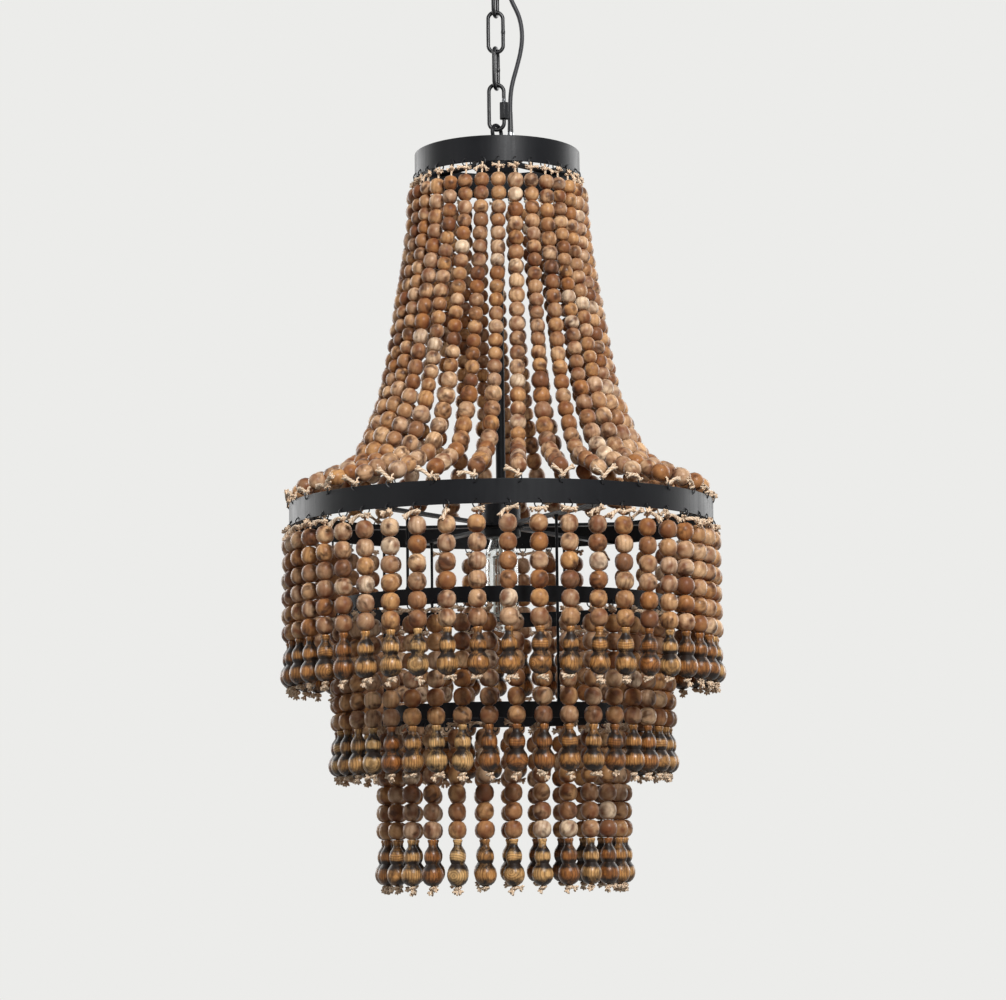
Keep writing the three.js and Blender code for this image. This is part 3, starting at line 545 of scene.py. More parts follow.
def made(piece, body, slot, material, *replaced):
    # the last step of each piece: its finish, unless it has one, its body and the nodes that it stands for
    if material:
        dress(piece, material)
    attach(piece, body)
    if replaced:
        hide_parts(*replaced)
    return piece


# ceiling cup, spun from sheet: a rolled rim under the ceiling, straight side, cone and flat floor
ceilingCup = {"sides": 96, "hollow": True, "profile": [(53.4, 0), (54.6, 0), (55, -0.5), (55, -9.4),
    (54.5, -10.6), (46.9, -27.2), (45.6, -28), (8.5, -28), (8, -27.2), (3.4, -27.2), (3.4, -26.4),
    (44.6, -26.4), (52.6, -10.6), (53.4, -9.2)]}
made(shaped("ceilingCup", ceilingCup), "ceiling_fitting", "black_steel", blackCoat, "ceiling_rose")

# the grip under the cup ends in a ribbed boot that tapers down onto the cable
ceilingBoot = {
    "sides": 32, "at": (18, 0), "sharp": 40,
    "profile": [(5.5, -20), (5.5, -28.3), (7.2, -28.3), (7.5, -28.7), (7.5, -30.4), (7.1, -30.8),
        (5.6, -30.8)],
    "ribs": 5, "ribTop": -31.8, "ribPitch": 2.9, "ribRadius": 5.2, "ribTaper": 0.42,
    "foot": [(2.9, -46.6), (2.5, -46.8)],
}
for i in range(ceilingBoot["ribs"]):
    z = ceilingBoot["ribTop"] - ceilingBoot["ribPitch"] * i
    r = ceilingBoot["ribRadius"] - ceilingBoot["ribTaper"] * i
    ceilingBoot["profile"] += [(r, z), (r, z - 1.7), (r - 0.75, z - 2.0), (r - 0.8, z - 2.7)]
ceilingBoot["profile"] += ceilingBoot["foot"]
boot = shaped("ceilingCableBoot", ceilingBoot)
made(boot, "ceiling_fitting", "black_plastic", moulded["Black"], "cable_grip")

# threaded hook: stem, collar with a bevelled edge and a round ring
hookSize = {"sides": 32, "profile": [(3, -3.3), (3, -28.3), (6.6, -28.3), (7, -28.8), (7, -30.8),
    (6.6, -31.3), (3.6, -31.3), (3.0, -32.2), (3.0, -34.5)], "ring": 10.5, "wire": 2.5, "ringCentre": -43.9}
hookStem = shaped("hookStem", hookSize)
hookRing = wireRing("hookRing", hookSize["ring"], hookSize["wire"], around=40, sides=14)
hookRing.data.transform(Matrix.Translation((0, 0, hookSize["ringCentre"] * mm)))
hook = joined("ceilingHook", [hookStem, hookRing])
made(hook, "ceiling_fitting", "black_chain", blackLacquer, "ceiling_hook")
print("ceiling fitting made")

# three welded links; each has a small swelling on one leg where its wire was butt welded
linkSize = {
    "halfWidth": 7.9, "wire": 2.1, "span": 43.9, "turns": (74, 0, 74),
    "weld": [(2.12, -2.6), (2.3, -1.5), (2.42, -0.4), (2.42, 0.4), (2.3, 1.5), (2.12, 2.6)],
}
for i, degrees in enumerate(linkSize["turns"], 1):
    node = f"chain_link_{i}"
    low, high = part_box(node)
    link = wireRing(f"chainLink{i}", linkSize["halfWidth"], linkSize["wire"],
        stretch=linkSize["span"] - 2 * linkSize["halfWidth"], around=40, sides=14)
    weld = smoothed(turned("weld", linkSize["weld"], sides=16, at=(linkSize["halfWidth"], 0)), 60)
    link = joined(f"chainLink{i}", [link, weld])
    link.data.transform(Matrix.Translation((low + high) / 2) @ Matrix.Rotation(math.radians(degrees), 4, "Z"))
    made(link, node, "black_chain", blackLacquer, node)

# screw link: a long loop with a bare thread on its right leg, and a six-sided sleeve on the thread
quickLink = {
    "halfWidth": 7.9, "wire": 2.1, "span": 49.1, "centre": -192.25,
    "thread": 2.12, "crest": 2.36, "threadPitch": 0.7, "threadTop": -182.6, "threadFoot": -187.8,
    "sleeve": 5.2, "sleeveTall": 17.3, "sleeveCentre": -196.4,
}
loop = wireRing("quickLink", quickLink["halfWidth"], quickLink["wire"],
    stretch=quickLink["span"] - 2 * quickLink["halfWidth"], around=48, sides=14)
loop.data.transform(Matrix.Translation((0, 0, quickLink["centre"] * mm)))
thread = [(quickLink["thread"], quickLink["threadTop"])]
while thread[-1][1] > quickLink["threadFoot"]:
    z = thread[-1][1]
    thread += [(quickLink["crest"], z - quickLink["threadPitch"] / 2),
        (quickLink["thread"], z - quickLink["threadPitch"])]
threadPiece = smoothed(turned("thread", thread, sides=20, at=(quickLink["halfWidth"], 0)), 20)
loop = joined("quickLink", [dress(loop, blackLacquer), dress(threadPiece, zincPlate)])
made(loop, "quick_link", "black_chain", None, "quick_link")

# the sleeve's ends are inset twice, raised a little between, for the chamfer and the bore
selectNothing()
sleevePlace = (quickLink["halfWidth"] * mm, 0, quickLink["sleeveCentre"] * mm)
bpy.ops.mesh.primitive_cylinder_add(vertices=6, radius=quickLink["sleeve"] * mm,
    depth=quickLink["sleeveTall"] * mm, location=sleevePlace)
sleeve = named(settle(bpy.context.object), "screwSleeve")
pickFaces(sleeve, lambda face: abs(face.normal.z) > 0.9)
bpy.ops.mesh.inset(thickness=0.9 * mm)
bpy.ops.transform.resize(value=(1, 1, 1.06), center_override=sleevePlace)
bpy.ops.mesh.inset(thickness=1.5 * mm)
bpy.ops.object.mode_set(mode="OBJECT")
finishedWith(sleeve, "BEVEL", width=0.35 * mm, segments=2, limit_method="ANGLE")
made(smoothed(sleeve, 30), "sleeve", "black_chain", blackLacquer, "quick_link_sleeve")
print("chain made")

# eye with its collar, screwed down into the hub
topEye = {"ring": 8, "wire": 2.15, "ringCentre": -220.15, "turn": 55, "sides": 32, "profile": [(2.6, -226.3),
    (3.4, -227.4), (5.1, -228.2), (5.5, -228.7), (5.5, -230.7), (5.1, -231.2), (3, -231.2), (3, -234.4)]}
eyeRing = wireRing("eyeRing", topEye["ring"], topEye["wire"], around=40, sides=14)
eyeRing.data.transform(Matrix.Translation((0, 0, topEye["ringCentre"] * mm))
    @ Matrix.Rotation(math.radians(topEye["turn"]), 4, "Z"))
eye = joined("topEye", [eyeRing, shaped("eyeFoot", topEye)])
made(eye, "frame", "black_steel", blackCoat, "top_eye")

# hub canister: pressed lid with a rolled edge, straight side, ledge under the spider
hubCanister = {"sides": 64, "hollow": True, "profile": [(3.3, -231.5), (19.8, -231.5), (21.3, -231.9),
    (22, -233), (22, -250.6), (24.2, -250.6), (24.6, -251), (24.6, -252.3), (24.2, -252.7), (22, -252.7),
    (22, -266.8), (21.2, -268.1), (19.8, -268.5), (5.3, -268.5), (5.3, -263.5), (20, -263.5), (20, -234.5),
    (3.3, -234.5)]}
made(shaped("hubCanister", hubCanister), "frame", "black_steel", blackCoat, "hub_canister")

# cable gland: a grooved silver nut on a flange, and a tapered black boot out of it round the cable
cableGland = {"sides": 24, "hollow": True, "at": (14.5, 6), "sharp": 30, "profile": [(2.7, -231.15),
    (4.6, -231.15), (4.6, -229.4), (4.1, -229.1), (4.1, -228.5), (4.5, -228.1), (4.5, -223.6), (4.2, -222.6),
    (3.8, -220.6), (3.6, -218.8), (2.7, -218.8)]}
made(shaped("cableGland", cableGland), "frame", "zinc_plated_steel", zincPlate, "cable_gland")
glandBoot = {"sides": 32, "hollow": True, "at": (14.5, 6), "bendTop": -198, "bendFoot": -216,
    "profile": [(2.45, -196.4), (2.6, -196.4), (2.7, -200), (2.85, -206), (3.0, -212), (3.15, -217.6),
        (3.2, -218.7), (2.65, -219), (2.65, -221), (2.45, -221), (2.45, -216), (2.45, -211), (2.45, -206),
        (2.45, -201)]}
lowerBoot = dress(shaped("glandCableBoot", glandBoot), moulded["Black"])
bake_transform(lowerBoot)
print("hub made")

# hoops: strip rolled round and welded, edges eased, with a drilled hole for each string's ring. Each row of
# holes has its height, their number and the first one's turn from the front
stripThickness = 2
holeRadius = 0.75
hoops = {
    "topBand": {"node": "top_band", "radius": 87, "top": -243.95, "foot": -270.95, "sides": 128,
        "holes": [(-266.8, 32, 12.4)]},
    "mainBand": {"node": "main_band", "radius": 220, "top": -615.75, "foot": -639.75, "sides": 224,
        "holes": [(-635.6, 46, 1.7), (-619.9, 32, 4.5)]},
    "ringTwo": {"node": "ring_two", "radius": 170.5, "top": -715.25, "foot": -731.25, "sides": 192,
        "holes": [(-727.1, 40, 4.3)]},
    "ringThree": {"node": "ring_three", "radius": 123.5, "top": -825.95, "foot": -841.95, "sides": 160,
        "holes": [(-837.8, 28, 4.2)]},
}


def facing(degrees):
    # turns from the front towards +X; local X then points outwards, local Y to the right as the front is seen
    sine, cosine = math.sin(math.radians(degrees)), math.cos(math.radians(degrees))
    return Matrix(((sine, cosine, 0, 0), (-cosine, sine, 0, 0), (0, 0, 1, 0), (0, 0, 0, 1)))


def at(degrees, out, side, z):
    return facing(degrees) @ Matrix.Translation((out * mm, side * mm, z * mm))


def roundAgain(piece):
    # the rolled faces get the cylinder's own normals back, which drilling leaves creased
    mesh = piece.data
    normals = []
    for face in mesh.polygons:
        side = face.normal.dot(Vector((face.center.x, face.center.y, 0)).normalized())
        for i in face.loop_indices:
            corner = mesh.vertices[mesh.loops[i].vertex_index].co
            outwards = Vector((corner.x, corner.y, 0)).normalized()
            isRolled = abs(side) > 0.99
            normals.append(outwards * math.copysign(1, side) if isRolled else mesh.corner_normals[i].vector)
    mesh.normals_split_custom_set(normals)
    return piece


for name, size in hoops.items():
    outer, inner = size["radius"], size["radius"] - stripThickness
    top, foot = size["top"], size["foot"]
    section = [(outer, foot), (outer, top), (inner, top), (inner, foot)]
    strip = turned(name, section, size["sides"], hollow=True)
    finishedWith(strip, "BEVEL", width=0.35 * mm, segments=2, limit_method="ANGLE",
        angle_limit=math.radians(50))
    selectNothing()
    bpy.ops.mesh.primitive_cylinder_add(vertices=8, radius=holeRadius * mm, depth=8 * mm,
        rotation=(0, math.pi / 2, 0))
    drill = settle(bpy.context.object)
    drills = [copyOf(drill, at(phase + 360 * i / count, outer - stripThickness / 2, 0, z))
        for z, count, phase in size["holes"] for i in range(count)]
    bpy.data.objects.remove(drill)
    drills = joined("drills", drills)
    finishedWith(strip, "BOOLEAN", object=drills, operation="DIFFERENCE", solver="EXACT")
    bpy.data.objects.remove(drills)
    made(roundAgain(smoothed(strip, 30)), "frame", "black_steel", blackCoat, size["node"])
print("hoops made")

# thin rods to the two lower hoops, their ends flattened against what they are welded to
rods = {
    "ring_two_rod": {"name": "ringTwoRod", "phase": -33.2, "out": 169.5, "top": -639.6, "foot": -715.6},
    "ring_three_rod": {"name": "ringThreeRod", "phase": 26.8, "out": 122.5, "top": -639.6, "foot": -826.3},
}
for node, size in rods.items():
    top, foot = size["top"], size["foot"]
    for i in range(3):
        rod = turned(f"{size['name']}{i + 1}", [(1.0, top), (2.3, top), (2.5, top - 0.7), (1.9, top - 1.7),
            (1.5, top - 2.8), (1.5, foot + 3.2), (1.9, foot + 2.0), (2.4, foot + 0.8), (2.2, foot),
            (1.0, foot)], sides=16)
        rod.data.transform(at(size["phase"] + 120 * i, size["out"], 0, 0))
        made(smoothed(rod, 50), "frame", "black_steel", blackCoat, f"{node}_{i + 1}")

# the central tube, with a pressed ring where it leaves the hub and a lock collar on the cup
centralTube = {"sides": 40, "hollow": True, "profile": [(3.7, -262.45), (5, -262.45), (5, -268.5),
    (7.4, -268.5), (7.8, -269), (7.8, -270.8), (7.4, -271.3), (5, -271.3), (5, -611.2), (8.6, -611.2),
    (9, -611.7), (9, -615.2), (8.6, -615.7), (5, -615.7), (5, -623.75), (3.7, -623.75)]}
made(shaped("centralTube", centralTube), "frame", "black_steel", blackCoat, "central_tube")
print("rods and tube made")

# lamp cup, spun steel with a rolled mouth
lampCup = {"sides": 64, "hollow": True, "profile": [(5.3, -615.8), (17.6, -615.8), (19.3, -616.3),
    (20, -617.8), (20, -640.1), (22.2, -640.1), (22.5, -640.5), (22.5, -641.4), (22.2, -641.7), (20, -641.7),
    (20, -648.6), (19.6, -649.6), (18.8, -649.7), (18.5, -649), (18.5, -617.3), (5.3, -617.3)]}
made(shaped("lampCup", lampCup), "frame", "black_steel", blackCoat, "lamp_cup")

# holder insert: moulded ring with a stepped mouth
holderInsert = {"sides": 64, "profile": [(2, -624.4), (18.2, -624.4), (18.2, -650), (17.6, -650.7),
    (14.6, -650.7), (13.8, -650), (13.8, -627.7), (2, -627.7)]}
made(shaped("holderInsert", holderInsert), "frame", "black_plastic", moulded["Black"], "lampholder_insert")

# lamp cap: solder tip, black collar and a rolled thread, round in section
lampCap = {
    "sides": 48, "sharp": 50, "profile": [(1.2, -628.05), (4.2, -628.2), (4.6, -629), (9.5, -631.6),
        (12.4, -632.6)],
    "threads": 5, "threadTop": -633.4, "threadPitch": 3.1,
    "mouth": [(13.2, -649.8), (13.4, -651.6), (12.3, -651.7), (12.3, -640), (1.2, -640)],
}
for i in range(lampCap["threads"]):
    z = lampCap["threadTop"] - lampCap["threadPitch"] * i
    lampCap["profile"] += [(12.6, z), (13.35, z - 0.9), (13.35, z - 1.6), (12.6, z - 2.5)]
lampCap["profile"] += lampCap["mouth"]
made(shaped("lampCap", lampCap), "frame", "zinc_plated_steel", zincPlate, "bulb_cap")

# glass envelope: neck in the cap, soft shoulder, straight tube and a domed end
lampGlass = {
    "sides": 64, "radius": 17, "wall": 0.9, "domeTop": -731.7, "domeDegrees": (15, 30, 45, 60, 72, 82),
    "neck": [(12.0, -640.2), (12.0, -652.4), (12.6, -655), (14.6, -660.5), (16.3, -665.2), (17, -669.5),
        (17, -731.5)],
    "tip": (0.6, -748.75), "innerTip": (0.5, -747.85),
}
radius, wall, domeTop = lampGlass["radius"], lampGlass["wall"], lampGlass["domeTop"]
glassOut = lampGlass["neck"] + [
    (radius * math.cos(math.radians(degrees)), domeTop - radius * math.sin(math.radians(degrees)))
    for degrees in lampGlass["domeDegrees"]]
glassIn = [(r - wall, z + wall * max(0.0, domeTop - z) / radius) for r, z in reversed(glassOut[:-1])]
glass = smoothed(turned("lampGlass", [lampGlass["tip"], *reversed(glassOut)], sides=lampGlass["sides"]), 60)
inside = turned("glassInside", [lampGlass["innerTip"], *glassIn], sides=lampGlass["sides"])
# both lose the flat face that closes the neck, the inner skin faces the other way, and the two are bridged
for skin in (glass, inside):
    pickFaces(skin, lambda face: len(face.vertices) > 8 and face.center.z > -0.7)
    bpy.ops.mesh.delete(type="ONLY_FACE")
    if skin is inside:
        bpy.ops.mesh.select_all(action="SELECT")
        bpy.ops.mesh.flip_normals()
    bpy.ops.object.mode_set(mode="OBJECT")
glass = joined("lampGlass", [glass, inside])
bpy.ops.object.mode_set(mode="EDIT")
bpy.ops.mesh.select_mode(type="EDGE")
bpy.ops.mesh.select_all(action="DESELECT")
bpy.ops.mesh.select_non_manifold()
bpy.ops.mesh.bridge_edge_loops()
bpy.ops.object.mode_set(mode="OBJECT")
made(smoothed(glass, 60), "frame", "clear_glass", clearGlass, "bulb_glass")

# inside the glass: a drawn post, two wire discs, and long filaments strung up and down between them
filament = {
    "sides": 20, "profile": [(6.2, -641), (6.2, -643), (4.2, -650), (2.6, -658), (2.2, -664), (2.2, -729),
        (3, -731), (3, -733), (1, -733.6)],
    "discs": (-670.4, -731.4), "cage": 8.6, "wire": 0.45, "top": -670.4, "foot": -731, "count": 12,
}
filamentParts = [shaped("filamentPost", filament)]
for z in filament["discs"]:
    disc = turned("filamentDisc", [(1.8, z + 0.7), (9.4, z + 0.7), (9.8, z + 0.3), (9.8, z - 0.3),
        (9.4, z - 0.7), (1.8, z - 0.7)], sides=24)
    filamentParts.append(smoothed(disc))
for i in range(filament["count"]):
    wire = turned("filamentWire", [(filament["wire"], filament["foot"]), (filament["wire"], filament["top"])],
        sides=6)
    wire.data.transform(at(360 * i / filament["count"], filament["cage"], 0, 0))
    filamentParts.append(smoothed(wire, 80))
made(joined("lampFilament", filamentParts), "frame", "filament_brass", nickelWire, "bulb_filament")
print("lamp made")

# patterns for what repeats: one bead, one finial, one wire ring, a few jute knots and tails
beadShape = {"sides": 14, "sharp": 80, "profile": [(0.38, 0.965), (0.71, 0.785), (0.93, 0.44), (1, 0),
    (0.93, -0.44), (0.71, -0.785), (0.38, -0.965)]}
finialShape = {"sides": 16, "sharp": 50, "tall": 45.8, "profile": [(1.6, 0), (4.4, 0), (4.9, -1), (4.7, -2.4),
    (4.0, -3.6), (4.1, -6.8), (5.6, -9.2), (7.5, -12), (8.5, -15.6), (8.5, -19), (7.7, -22), (6.6, -24.2),
    (7.8, -26.2), (9.9, -29), (11.1, -33), (11.2, -36.4), (10.2, -40), (8.2, -43), (5.4, -45.1),
    (2.4, -45.8)]}
ringSize = {"radius": 4.3, "wire": 0.7}
beadPattern = dress(shaped("beadPattern", beadShape), beadWood)
finialPattern = dress(shaped("finialPattern", finialShape), finialWood)
ringPattern = wireRing("ringPattern", ringSize["radius"], ringSize["wire"], around=18, sides=5)
bodies = {}
for pattern in (beadPattern, finialPattern):
    for layer, kind in (("grainPlace", "FLOAT_VECTOR"), ("tone", "FLOAT"), ("downShare", "FLOAT")):
        pattern.data.attributes.new(layer, kind, "POINT")
    bodies[pattern.name] = np.array([v.co for v in pattern.data.vertices]) / mm


def woodCopy(pattern, place, size, dice, finial=False):
    # one turned piece: its own bit of plank, and its own tone
    piece = copyOf(pattern, place @ Matrix.Diagonal((*size, 1)))
    own = bodies[pattern.name] * np.array(size)
    if finial:
        # about one in three is cut near the middle of the tree, where the growth rings are small
        side = dice.uniform(-5, 5) if dice.random() < 0.35 else dice.uniform(60, 900)
        grain = own + np.array([side, dice.uniform(-900, 900), 35 + dice.uniform(-3, 3)])
        tone = dice.uniform(0.25, 1.05)
        carry(piece, "downShare", -own[:, 2] / finialShape["tall"])
    else:
        spin = Matrix.Rotation(dice.uniform(0, 6.28), 3, "Z")
        spin = spin @ Matrix.Rotation(dice.uniform(0.4, 1.57), 3, "X")
        plank = [dice.uniform(12, 60), dice.uniform(-4, 4), dice.uniform(-900, 900)]
        grain = own @ np.array(spin) + np.array(plank)
        tone = min(1, max(0.05, dice.gauss(0.53, 0.21)))
    carry(piece, "grainPlace", grain)
    carry(piece, "tone", np.full(len(own), tone))
    return piece


def knotPattern(name, size):
    # a lump with one turn of the twine slung over it
    lump = turned("lump", [(0.8, -2.2 * size), (2.2, -1.7 * size), (3.0, -0.2), (2.8, 1.0 * size),
        (1.8, 1.9 * size), (0.6, 2.2 * size)], sides=8)
    turns = [Vector((2.4 * math.cos(a) * size, 2.8 * math.sin(a) * size, 1.0 * math.sin(a) * size))
        for a in [math.tau * k / 8 for k in range(9)]]
    sling = cordTube("sling", turns, [1.35] * len(turns), resolution=1)
    carry(lump, "cordPlace", [v.co / mm for v in lump.data.vertices])
    return dress(joined(name, [sling, smoothed(lump, 80)]), juteTwine)


def tailPattern(name, points, thick):
    # one cut end of the twine: it swells where its lay opens, and frays into a small brush of five strands
    line = smoothPath([Vector(p) for p in points], 2)
    shares = [i / (len(line) - 1) for i in range(len(line))]
    radii = [thick * (1 - 0.12 * math.sin(math.pi * share) + 0.6 * share ** 5) for share in shares]
    parts = [cordTube(name, line, radii, resolution=1)]
    ending = (line[-1] - line[-2]).normalized()
    across = ending.cross(Vector((1, 0, 0))).normalized()
    level = ending.cross(across)
    for k in range(5):
        angle = math.tau * (k + 0.3) / 5
        spread = across * math.cos(angle) + level * math.sin(angle)
        start = line[-1] - ending * 0.9 + spread * thick * 0.95
        tip = start + (ending + spread * 0.65) * (2.2 + 0.7 * math.sin(3.1 * k))
        parts.append(cordTube("strand", [start, start.lerp(tip, 0.55) + ending * 0.2, tip],
            [thick * 0.6, thick * 0.58, thick * 0.25], resolution=0))
    return dress(joined(name, parts), juteTwine)


# each tail's line from its knot: outwards, to the side and up
tailRadius = 1.95
tails = {
    "sideways": [(0.5, 0, 0), (2.2, -3.4, 1), (2.8, -8, 0.6), (3, -12.5, -1.2)],
    "reaching": [(0.5, 0, 0), (2.6, -3.4, 1.4), (3.6, -9, 0.4), (4.4, -15.5, -3.4)],
    "drooping": [(0.5, 0, 0), (3, -2.8, 0.8), (4.8, -6, -1.6), (6, -9.2, -5.6)],
    "raised": [(0.5, 0, 0), (3.4, -2.6, 0.9), (4.8, -6.4, 1.3), (5.2, -10, 1.2)],
    "short": [(0.5, 0, 0), (1.8, -2.2, 0.8), (2.4, -4.8, 0.8), (2.8, -6.8, 0)],
    "fallen": [(0.5, 0, 0), (3.4, -1.2, -0.8), (5.4, -2.4, -4.6), (6.6, -3.2, -9)],
    "leaning": [(0.5, 0, 0), (2.8, -2.6, 3), (3.2, -7, 6.4), (2.6, -11.5, 8.6)],
    "upright": [(0.5, 0, 0), (2.6, -1.6, 3.4), (3.4, -4.6, 8.5), (2.8, -8, 13), (2.4, -11.5, 16)],
    "lying": [(0.5, 0, 0), (2.5, -3.8, 2.6), (2, -10, 4), (1, -16, 3.2)],
    "crown": [(0.6, 0, 0), (3.2, -1.2, 1), (5.2, -2.6, 3)],
    "tuft": [(0.2, 0, 0), (0.8, -1.2, -1.8), (1, -2.8, -4)],
    "lyingTuft": [(0.2, 0, 0), (1.2, -3, -0.6), (1.4, -6.4, -0.4)],
}
tailPatterns = {key: tailPattern(key, points, tailRadius) for key, points in tails.items()}
tieKnot = knotPattern("tieKnot", 1)
endKnot = knotPattern("endKnot", 1.15)
mirror = Matrix.Scale(-1, 4, (0, 1, 0))
print("patterns made")


def tailCopy(key, place, flip, dice):
    # each tail is turned a little its own way and is a little longer or shorter
    place = place @ Matrix.Rotation(dice.uniform(-0.16, 0.16), 4, "X")
    place = place @ Matrix.Scale(dice.uniform(0.88, 1.08), 4)
    piece = copyOf(tailPatterns[key], place @ (mirror if flip else Matrix()))
    if flip:
        piece.data.flip_normals()
    return piece


def flipped(degrees, size, dice):
    # tails point left, and some are flipped to the right, more of them on the chandelier's right
    isRight = math.sin(math.radians(degrees)) > size["rightFrom"]
    return dice.random() < size["flipRight" if isRight else "flipElse"]


def strung(node, body, strings):
    # a group's twine in one piece and its wood in another, which stands for the node
    wood = [piece for beads, cords in strings for piece in beads]
    twine = [piece for beads, cords in strings for piece in cords]
    made(joined(f"{node}_twine", twine), body, "jute_cord", juteTwine)
    made(joined(f"{node}_beads", wood), body, "wooden_beads", None, node)


# one hanging string, down from its hoop's lower edge: knot, beads, finial, end knot
hanging = {
    "knot": 6.4, "firstTop": 10.3, "beads": 6, "bead": 9.4, "pitch": 18.1, "endKnot": 2.2,
    "coreTop": -2.7, "coreFoot": -47, "core": 1.15,
    # chances of a flipped tail on the right and elsewhere, and of a second tuft at the end knot
    "rightFrom": 0.25, "flipRight": 0.4, "flipElse": 0.15, "secondTuft": 0.55,
    "tails": ["sideways", "reaching", "drooping", "raised", "short", "fallen"],
    "others": ["short", "crown", "crown", "raised", None], "endTails": ["tuft", "lyingTuft", "short"],
}


def hangingString(degrees, radius, edge, dice):
    wood, twine = [], []
    sway = dice.uniform(-0.35, 0.35)
    for i in range(hanging["beads"]):
        z = edge - hanging["firstTop"] - (i + 0.5) * hanging["pitch"]
        wide = hanging["bead"] * dice.uniform(0.96, 1.01)
        tall = hanging["pitch"] / 2 * dice.uniform(0.985, 1.02)
        place = at(degrees, radius + dice.uniform(-0.3, 0.3), sway + dice.uniform(-0.3, 0.3), z)
        tilt = Matrix.Rotation(dice.uniform(-0.07, 0.07), 4, "X")
        tilt = tilt @ Matrix.Rotation(dice.uniform(0, 6.28), 4, "Z")
        wood.append(woodCopy(beadPattern, place @ tilt, (wide, wide, tall), dice))
    top = edge - hanging["firstTop"] - hanging["beads"] * hanging["pitch"]
    place = at(degrees, radius, sway, top) @ Matrix.Rotation(dice.uniform(0, 6.28), 4, "Z")
    share = dice.uniform(0.95, 1.0)
    wood.append(woodCopy(finialPattern, place, (share, share, 1), dice, finial=True))
    core = [at(degrees, radius, 0, z).translation / mm
        for z in (edge + hanging["coreTop"], top + hanging["coreFoot"])]
    twine.append(cordTube("core", core, [hanging["core"]] * 2, resolution=0))
    knotZ = edge - hanging["knot"]
    twine.append(copyOf(tieKnot, at(degrees, radius + 0.4, 0, knotZ)))
    flip = flipped(degrees, hanging, dice)
    key = dice.choice(hanging["tails"])
    twine.append(tailCopy(key, at(degrees + dice.uniform(-1, 1), radius + 0.6, 0, knotZ), flip, dice))
    other = dice.choice(hanging["others"])
    if other:
        twine.append(tailCopy(other, at(degrees, radius + 0.6, 0, knotZ + 0.3), not flip, dice))
    foot = at(degrees, radius, 0, top - finialShape["tall"] - hanging["endKnot"])
    foot = foot @ Matrix.Rotation(dice.uniform(-0.6, 0.6), 4, "Z")
    twine.append(copyOf(endKnot, foot))
    flip = dice.random() < 0.5
    key = dice.choice(hanging["endTails"])
    twine.append(tailCopy(key, foot @ Matrix.Translation((0, 0, -0.6 * mm)), flip, dice))
    if dice.random() < hanging["secondTuft"]:
        twine.append(tailCopy("tuft", foot @ Matrix.Translation((0, 0, -0.8 * mm)), not flip, dice))
    return wood, twine


# how many strings are in each group that swings as one, and where they hang
tiers = [
    {"name": "tier_one", "groups": [6, 6, 6, 5, 6, 6, 6, 5], "phase": 1.7, "radius": 219, "edge": -639.75},
    {"name": "tier_two", "groups": [5] * 8, "phase": 4.3, "radius": 169.5, "edge": -731.25},
    {"name": "tier_three", "groups": [5, 4, 5, 4, 5, 4], "phase": 4.2, "radius": 122.5, "edge": -841.95},
]
dice = random.Random(41)
for tier in tiers:
    step = 360 / sum(tier["groups"])
    done = 0
    for g, count in enumerate(tier["groups"], 1):
        node = f"{tier['name']}_group_{g}"
        strung(node, node, [hangingString(tier["phase"] + step * i, tier["radius"], tier["edge"], dice)
            for i in range(done, done + count)])
        done += count
    print(tier["name"], "strung")

# swags: small beads under the top band and larger ones towards the main band, on one sagging line
swagLine = {
    "count": 32, "phase": 4.5, "perGroup": 8, "skew": 7.9, "core": 1.2,
    "line": [(86, -271.3), (87, -281), (88.5, -291), (90.3, -323), (94.4, -355), (99.5, -387), (105, -419),
        (110, -451), (116, -483), (124, -515), (136.5, -546), (144, -562), (156, -577), (178, -589),
        (195, -596), (209, -602), (217, -608), (219, -615.7)],
    # radius, and half the pitch as a share of it
    "smallBead": (7.85, 0.91), "plainBead": (8.4, 0.95), "largeBead": (9.1, 0.97), "plainShare": 0.22,
    "beadsStart": 12.4, "beadsEnd": 10.5, "largeFrom": 0.58,
    # radius and height of the knots at each end
    "topKnot": (86.3, -276.6), "footKnot": (219.4, -612.6),
    "topTails": ["raised", "short", "crown", "drooping"], "otherTails": ["short", "leaning"],
    "footTails": ["upright", "lying", "leaning", "lying", "leaning"],
    # chances of a flipped tail at the foot on the right and elsewhere, and of a second one there
    "rightFrom": 0.1, "flipRight": 0.35, "flipElse": 0.1, "secondTail": 0.5,
}
swagPath = smoothPath([Vector((r, 0, z)) for r, z in swagLine["line"]], 6)
swagLengths = pathLengths(swagPath)


def alongSwag(distance):
    # the place at a distance along the swag's line, and its direction there
    i = max(k for k in range(len(swagLengths) - 1) if swagLengths[k] <= distance)
    share = (distance - swagLengths[i]) / (swagLengths[i + 1] - swagLengths[i])
    return swagPath[i].lerp(swagPath[i + 1], share), (swagPath[i + 1] - swagPath[i]).normalized()


def swagPlace(degrees, point):
    # between its top, which stands a few degrees round, and its foot
    topRadius, footRadius = swagLine["line"][0][0], swagLine["line"][-1][0]
    top = facing(degrees + swagLine["skew"]) @ Vector((topRadius, 0, 0))
    foot = facing(degrees) @ Vector((footRadius, 0, 0))
    share = (point.x - topRadius) / (footRadius - topRadius)
    return top.lerp(foot, share) + Vector((0, 0, point.z))


